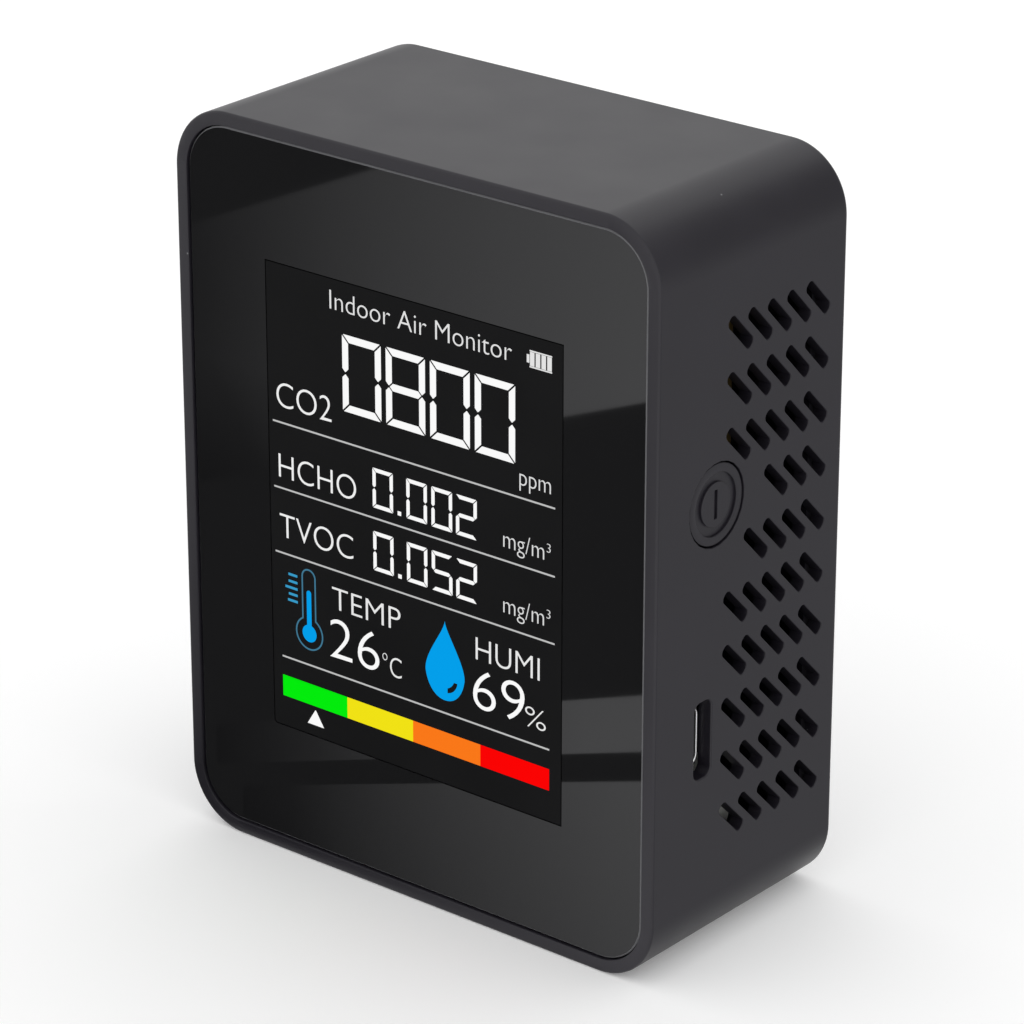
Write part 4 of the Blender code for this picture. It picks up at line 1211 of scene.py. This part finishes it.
gold_plate = metal("gold_plate", (0.9, 0.65, 0.25), 0.2, 4000.0, 0.05)
settle(join("socket_contacts", springs), gold_plate, "socket_tongue")

# ---------------------------------------------------------------- Power button
# A round ABS cap that stands in its hole, nearly level with the case. Its ring and bar are
# engraved, a flange inside the wall keeps it in, and a nub on its back presses the switch.

button_low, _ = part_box("power_button")
face = side - 0.15 * MM
flange_front = inner_side - gap
flange_back = flange_front - 0.8 * MM
symbol_depth = 0.3 * MM
button_edge = 0.09 * MM
symbol_outer, symbol_inner = 3.7 * MM, 2.6 * MM
button = start_drum("button_cap", button_radius, flange_front, face, sides=96)
round_edges(level_edges(2, face), button_edge, 3)
pick("FACE", facing(2, 1, face))
bpy.ops.mesh.inset(thickness=button_radius - button_edge - symbol_outer, use_even_offset=True)
bpy.ops.mesh.inset(thickness=symbol_outer - symbol_inner, use_even_offset=True)


def on_symbol_ring(part):
    radius = part.calc_center_median().xy.length
    return facing(2, 1, face)(part) and symbol_inner < radius < symbol_outer and len(part.verts) == 4


def symbol_rim(edge):
    radii = [vert.co.xy.length for vert in edge.verts]
    return level_edges(2, face)(edge) and any(
        all(abs(radius - rim) < 0.02 * MM for radius in radii) for rim in (symbol_outer, symbol_inner)
    )


pick("FACE", on_symbol_ring)
push(z=-symbol_depth)
round_edges(symbol_rim, 0.07 * MM, 3)
pick("FACE", facing(2, -1, flange_front))
bpy.ops.mesh.inset(thickness=0.05 * MM, use_even_offset=True)
close(button)
flange = start_drum("flange", 5.5 * MM, flange_back, flange_front, sides=96)
round_edges(level_edges(2, flange_back), 0.2 * MM, 2)
combine(button, close(flange), "UNION")
bar = slot_tool(0.12 * MM, 0.6 * MM, 3.4 * MM, 0.07 * MM, face - symbol_depth, face)
combine(button, bar, "DIFFERENCE")
switch_low, switch_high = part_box("switch_plunger")
plunger_y = (switch_low.y + switch_high.y) / 2 - button_y
nub = start_block(
    "nub",
    (plunger_y - 0.6 * MM, -1.3 * MM, button_low.x),
    (plunger_y + 0.6 * MM, 1.3 * MM, flange_back + 0.2 * MM),
)
combine(button, close(nub), "UNION")
place(button, Matrix.Translation((0, button_y, button_z)) @ TO_RIGHT)
settle(flatten_shading(button), black_abs, "power_button", "power_button")

dress(black_epoxy, "switch_body")
dress(white_plastic, "switch_plunger")

# ---------------------------------------------------------------- Sensors
# The carbon dioxide sensor is a gold-coated chamber on a small blue board, with a white film over
# its air hole. The two gas sensors are cans with holes in their lids, soldered to the main board.

dress(printed("blue_board", (0.004, 0.018, 0.06), (0.008, 0.035, 0.11)), "co2_sensor_board")
dress(metal("gold_coating", (0.2, 0.14, 0.05), 0.4, 900.0, 0.25), "co2_sensor_chamber")
dress(soft("white_filter", (0.82, 0.82, 0.8), 6500.0, 0.3, 0.02 * MM), "co2_sensor_filter")
dress(black_epoxy, "co2_sensor_header")


def add_can(node, material, holes, hole_radius, ring):
    """A round can with a rolled foot, a rounded shoulder and air holes in its lid."""
    low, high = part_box(node)
    radius = (high.x - low.x) / 2
    foot_top = low.y + 0.4 * MM
    can = start_drum(f"{node}_can", radius, low.y, foot_top, 64)
    pick("FACE", facing(2, 1, foot_top))
    bpy.ops.mesh.inset(thickness=0.35 * MM)
    push(z=high.y - foot_top)
    round_edges(level_edges(2, high.y), 0.5 * MM, 4)
    pick("FACE", facing(2, 1, high.y))
    bpy.ops.mesh.inset(thickness=0.6 * MM)
    push(z=-0.25 * MM)
    round_edges(level_edges(2, foot_top), 0.08 * MM, 2)
    close(can)
    tools = []
    for number in range(holes):
        turn = 2 * math.pi * number / holes
        tool = start_drum("hole", hole_radius, high.y - 1.2 * MM, high.y + gap, 20)
        at = (ring * math.cos(turn), ring * math.sin(turn), 0)
        tools.append(place(close(tool), Matrix.Translation(at)))
    combine(can, join("holes", tools), "DIFFERENCE")
    middle = (low + high) / 2
    place(can, Matrix.Translation((middle.x, 0, middle.z)) @ TO_REAR)
    settle(flatten_shading(can), material, node)


add_can("formaldehyde_sensor", white_plastic, 6, 0.6 * MM, 2.6 * MM)
drawn_can = metal("drawn_can", (0.62, 0.62, 0.63), 0.3, 2200.0)
add_can("gas_sensor", drawn_can, 8, 0.35 * MM, 1.7 * MM)

# ---------------------------------------------------------------- Cell and its plug
# A lithium cell in a pouch of laminated foil, held to the rear cover by foam tape. Two insulated
# leads loop from its top edge to a white plug in the board's socket.

dress(metal("pouch_foil", (0.62, 0.64, 0.66), 0.34, 700.0, 0.2, 1.0, 0.25 * MM), "battery_cell")
dress(soft("grey_foam_tape", (0.06, 0.06, 0.06), 2600.0, 0.6, 0.05 * MM), "battery_tape")
dress(white_plastic, "battery_socket", "battery_plug")
dress(plastic("red_insulation", (0.45, 0.012, 0.01), 0.38, 2500.0), "battery_lead_red")
dress(plastic("black_insulation", (0.014, 0.014, 0.014), 0.38, 2500.0), "battery_lead_black")

# ---------------------------------------------------------------- Rear cover and screws
# A flat cover of the same black ABS, let into the rear of the case, with a lip round its front
# side. Four screws go through its counterbored corner holes, and four hold the board.

cover_thickness = 2.0 * MM
head_radius, head_height = 1.9 * MM, 1.3 * MM
shank_radius = 0.8 * MM
thread_root, thread_rise = shank_radius * 0.82, 0.2 * MM
cover = start_block("rear_cover_plate", cover_low, cover_high)
round_edges(running(1), corner_radius - wall - gap, 24)
round_edges(level_edges(1, cover_high.y), 0.3 * MM, 4)
pick("FACE", facing(1, -1, cover_low.y))
bpy.ops.mesh.inset(thickness=1.2 * MM, use_even_offset=True)
push(y=cover_high.y - cover_thickness - cover_low.y)
close(cover)


bore_radius = head_radius + gap
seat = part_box(cover_screws[0])[1].y - head_height - gap
for screw in cover_screws:
    boss = drum_along(screw, bore_radius + 0.7 * MM, cover_low.y, cover_high.y - 1 * MM)
    combine(cover, boss, "UNION")
    hole = drum_along(screw, shank_radius + gap, cover_low.y - gap, cover_high.y)
    combine(cover, hole, "DIFFERENCE")
    bore = slot_tool(bore_radius, 2 * bore_radius, 2 * bore_radius, 0.15 * MM, seat, cover_high.y)
    at = middle_of(screw)
    place(bore, Matrix.Translation((at.x, 0, at.z)) @ TO_REAR)
    combine(cover, bore, "DIFFERENCE")
settle(flatten_shading(cover), black_abs, "rear_cover")


def make_screw(name, length):
    """A pan-head screw along +Z, its head's underside at 0, with thread ridges and a cross recess."""
    ring = (-length + 0.01 * MM, shank_radius * 0.5)
    screw = start_drum(name, ring[1], -length, ring[0], 32)
    ridges = int((length - 1.2 * MM) / (2 * thread_rise))
    steps = [(0.5 * MM, thread_root)]
    steps += [(thread_rise, shank_radius), (thread_rise, thread_root)] * ridges
    for rise, radius in steps:
        ring = grow(*ring, ring[0] + rise, radius)
    grow(*ring, 0.1 * MM, thread_root)
    close(screw)
    head = start_drum("head", head_radius, 0, head_height, 48)
    round_edges(level_edges(2, head_height), 0.6 * MM, 5)
    round_edges(level_edges(2, 0), 0.1 * MM, 1)
    combine(screw, close(head), "UNION")
    for across, along in ((0.21 * MM, 1.0 * MM), (1.0 * MM, 0.21 * MM)):
        recess = start_block("recess", (-across, -along, 0.55 * MM), (across, along, 1.5 * MM))
        pick("VERT", lambda vert: vert.co.z < 1.0 * MM)
        bpy.ops.transform.resize(value=(0.55, 0.55, 1), center_override=(0, 0, 0.55 * MM))
        combine(screw, close(recess), "DIFFERENCE")
    return flatten_shading(screw)


screw_steel = metal("zinc_plated_screw", (0.5, 0.5, 0.52), 0.26, 3000.0, 0.15)
for kind, turn in (("cover_screw", 20), ("board_screw", 55)):
    low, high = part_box(f"{kind}_1")
    pattern = make_screw(f"{kind}_pattern", high.y - low.y - head_height)
    for number in range(1, 5):
        screw = copy_of(pattern, f"{kind}_steel_{number}")
        twist = Matrix.Rotation(math.radians(turn * number), 4, "Z")
        at = middle_of(f"{kind}_{number}")
        at.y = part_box(f"{kind}_{number}")[1].y - head_height
        place(screw, Matrix.Translation(at) @ TO_REAR @ twist)
        settle(screw, screw_steel, f"{kind}_{number}")
    bpy.data.objects.remove(pattern)
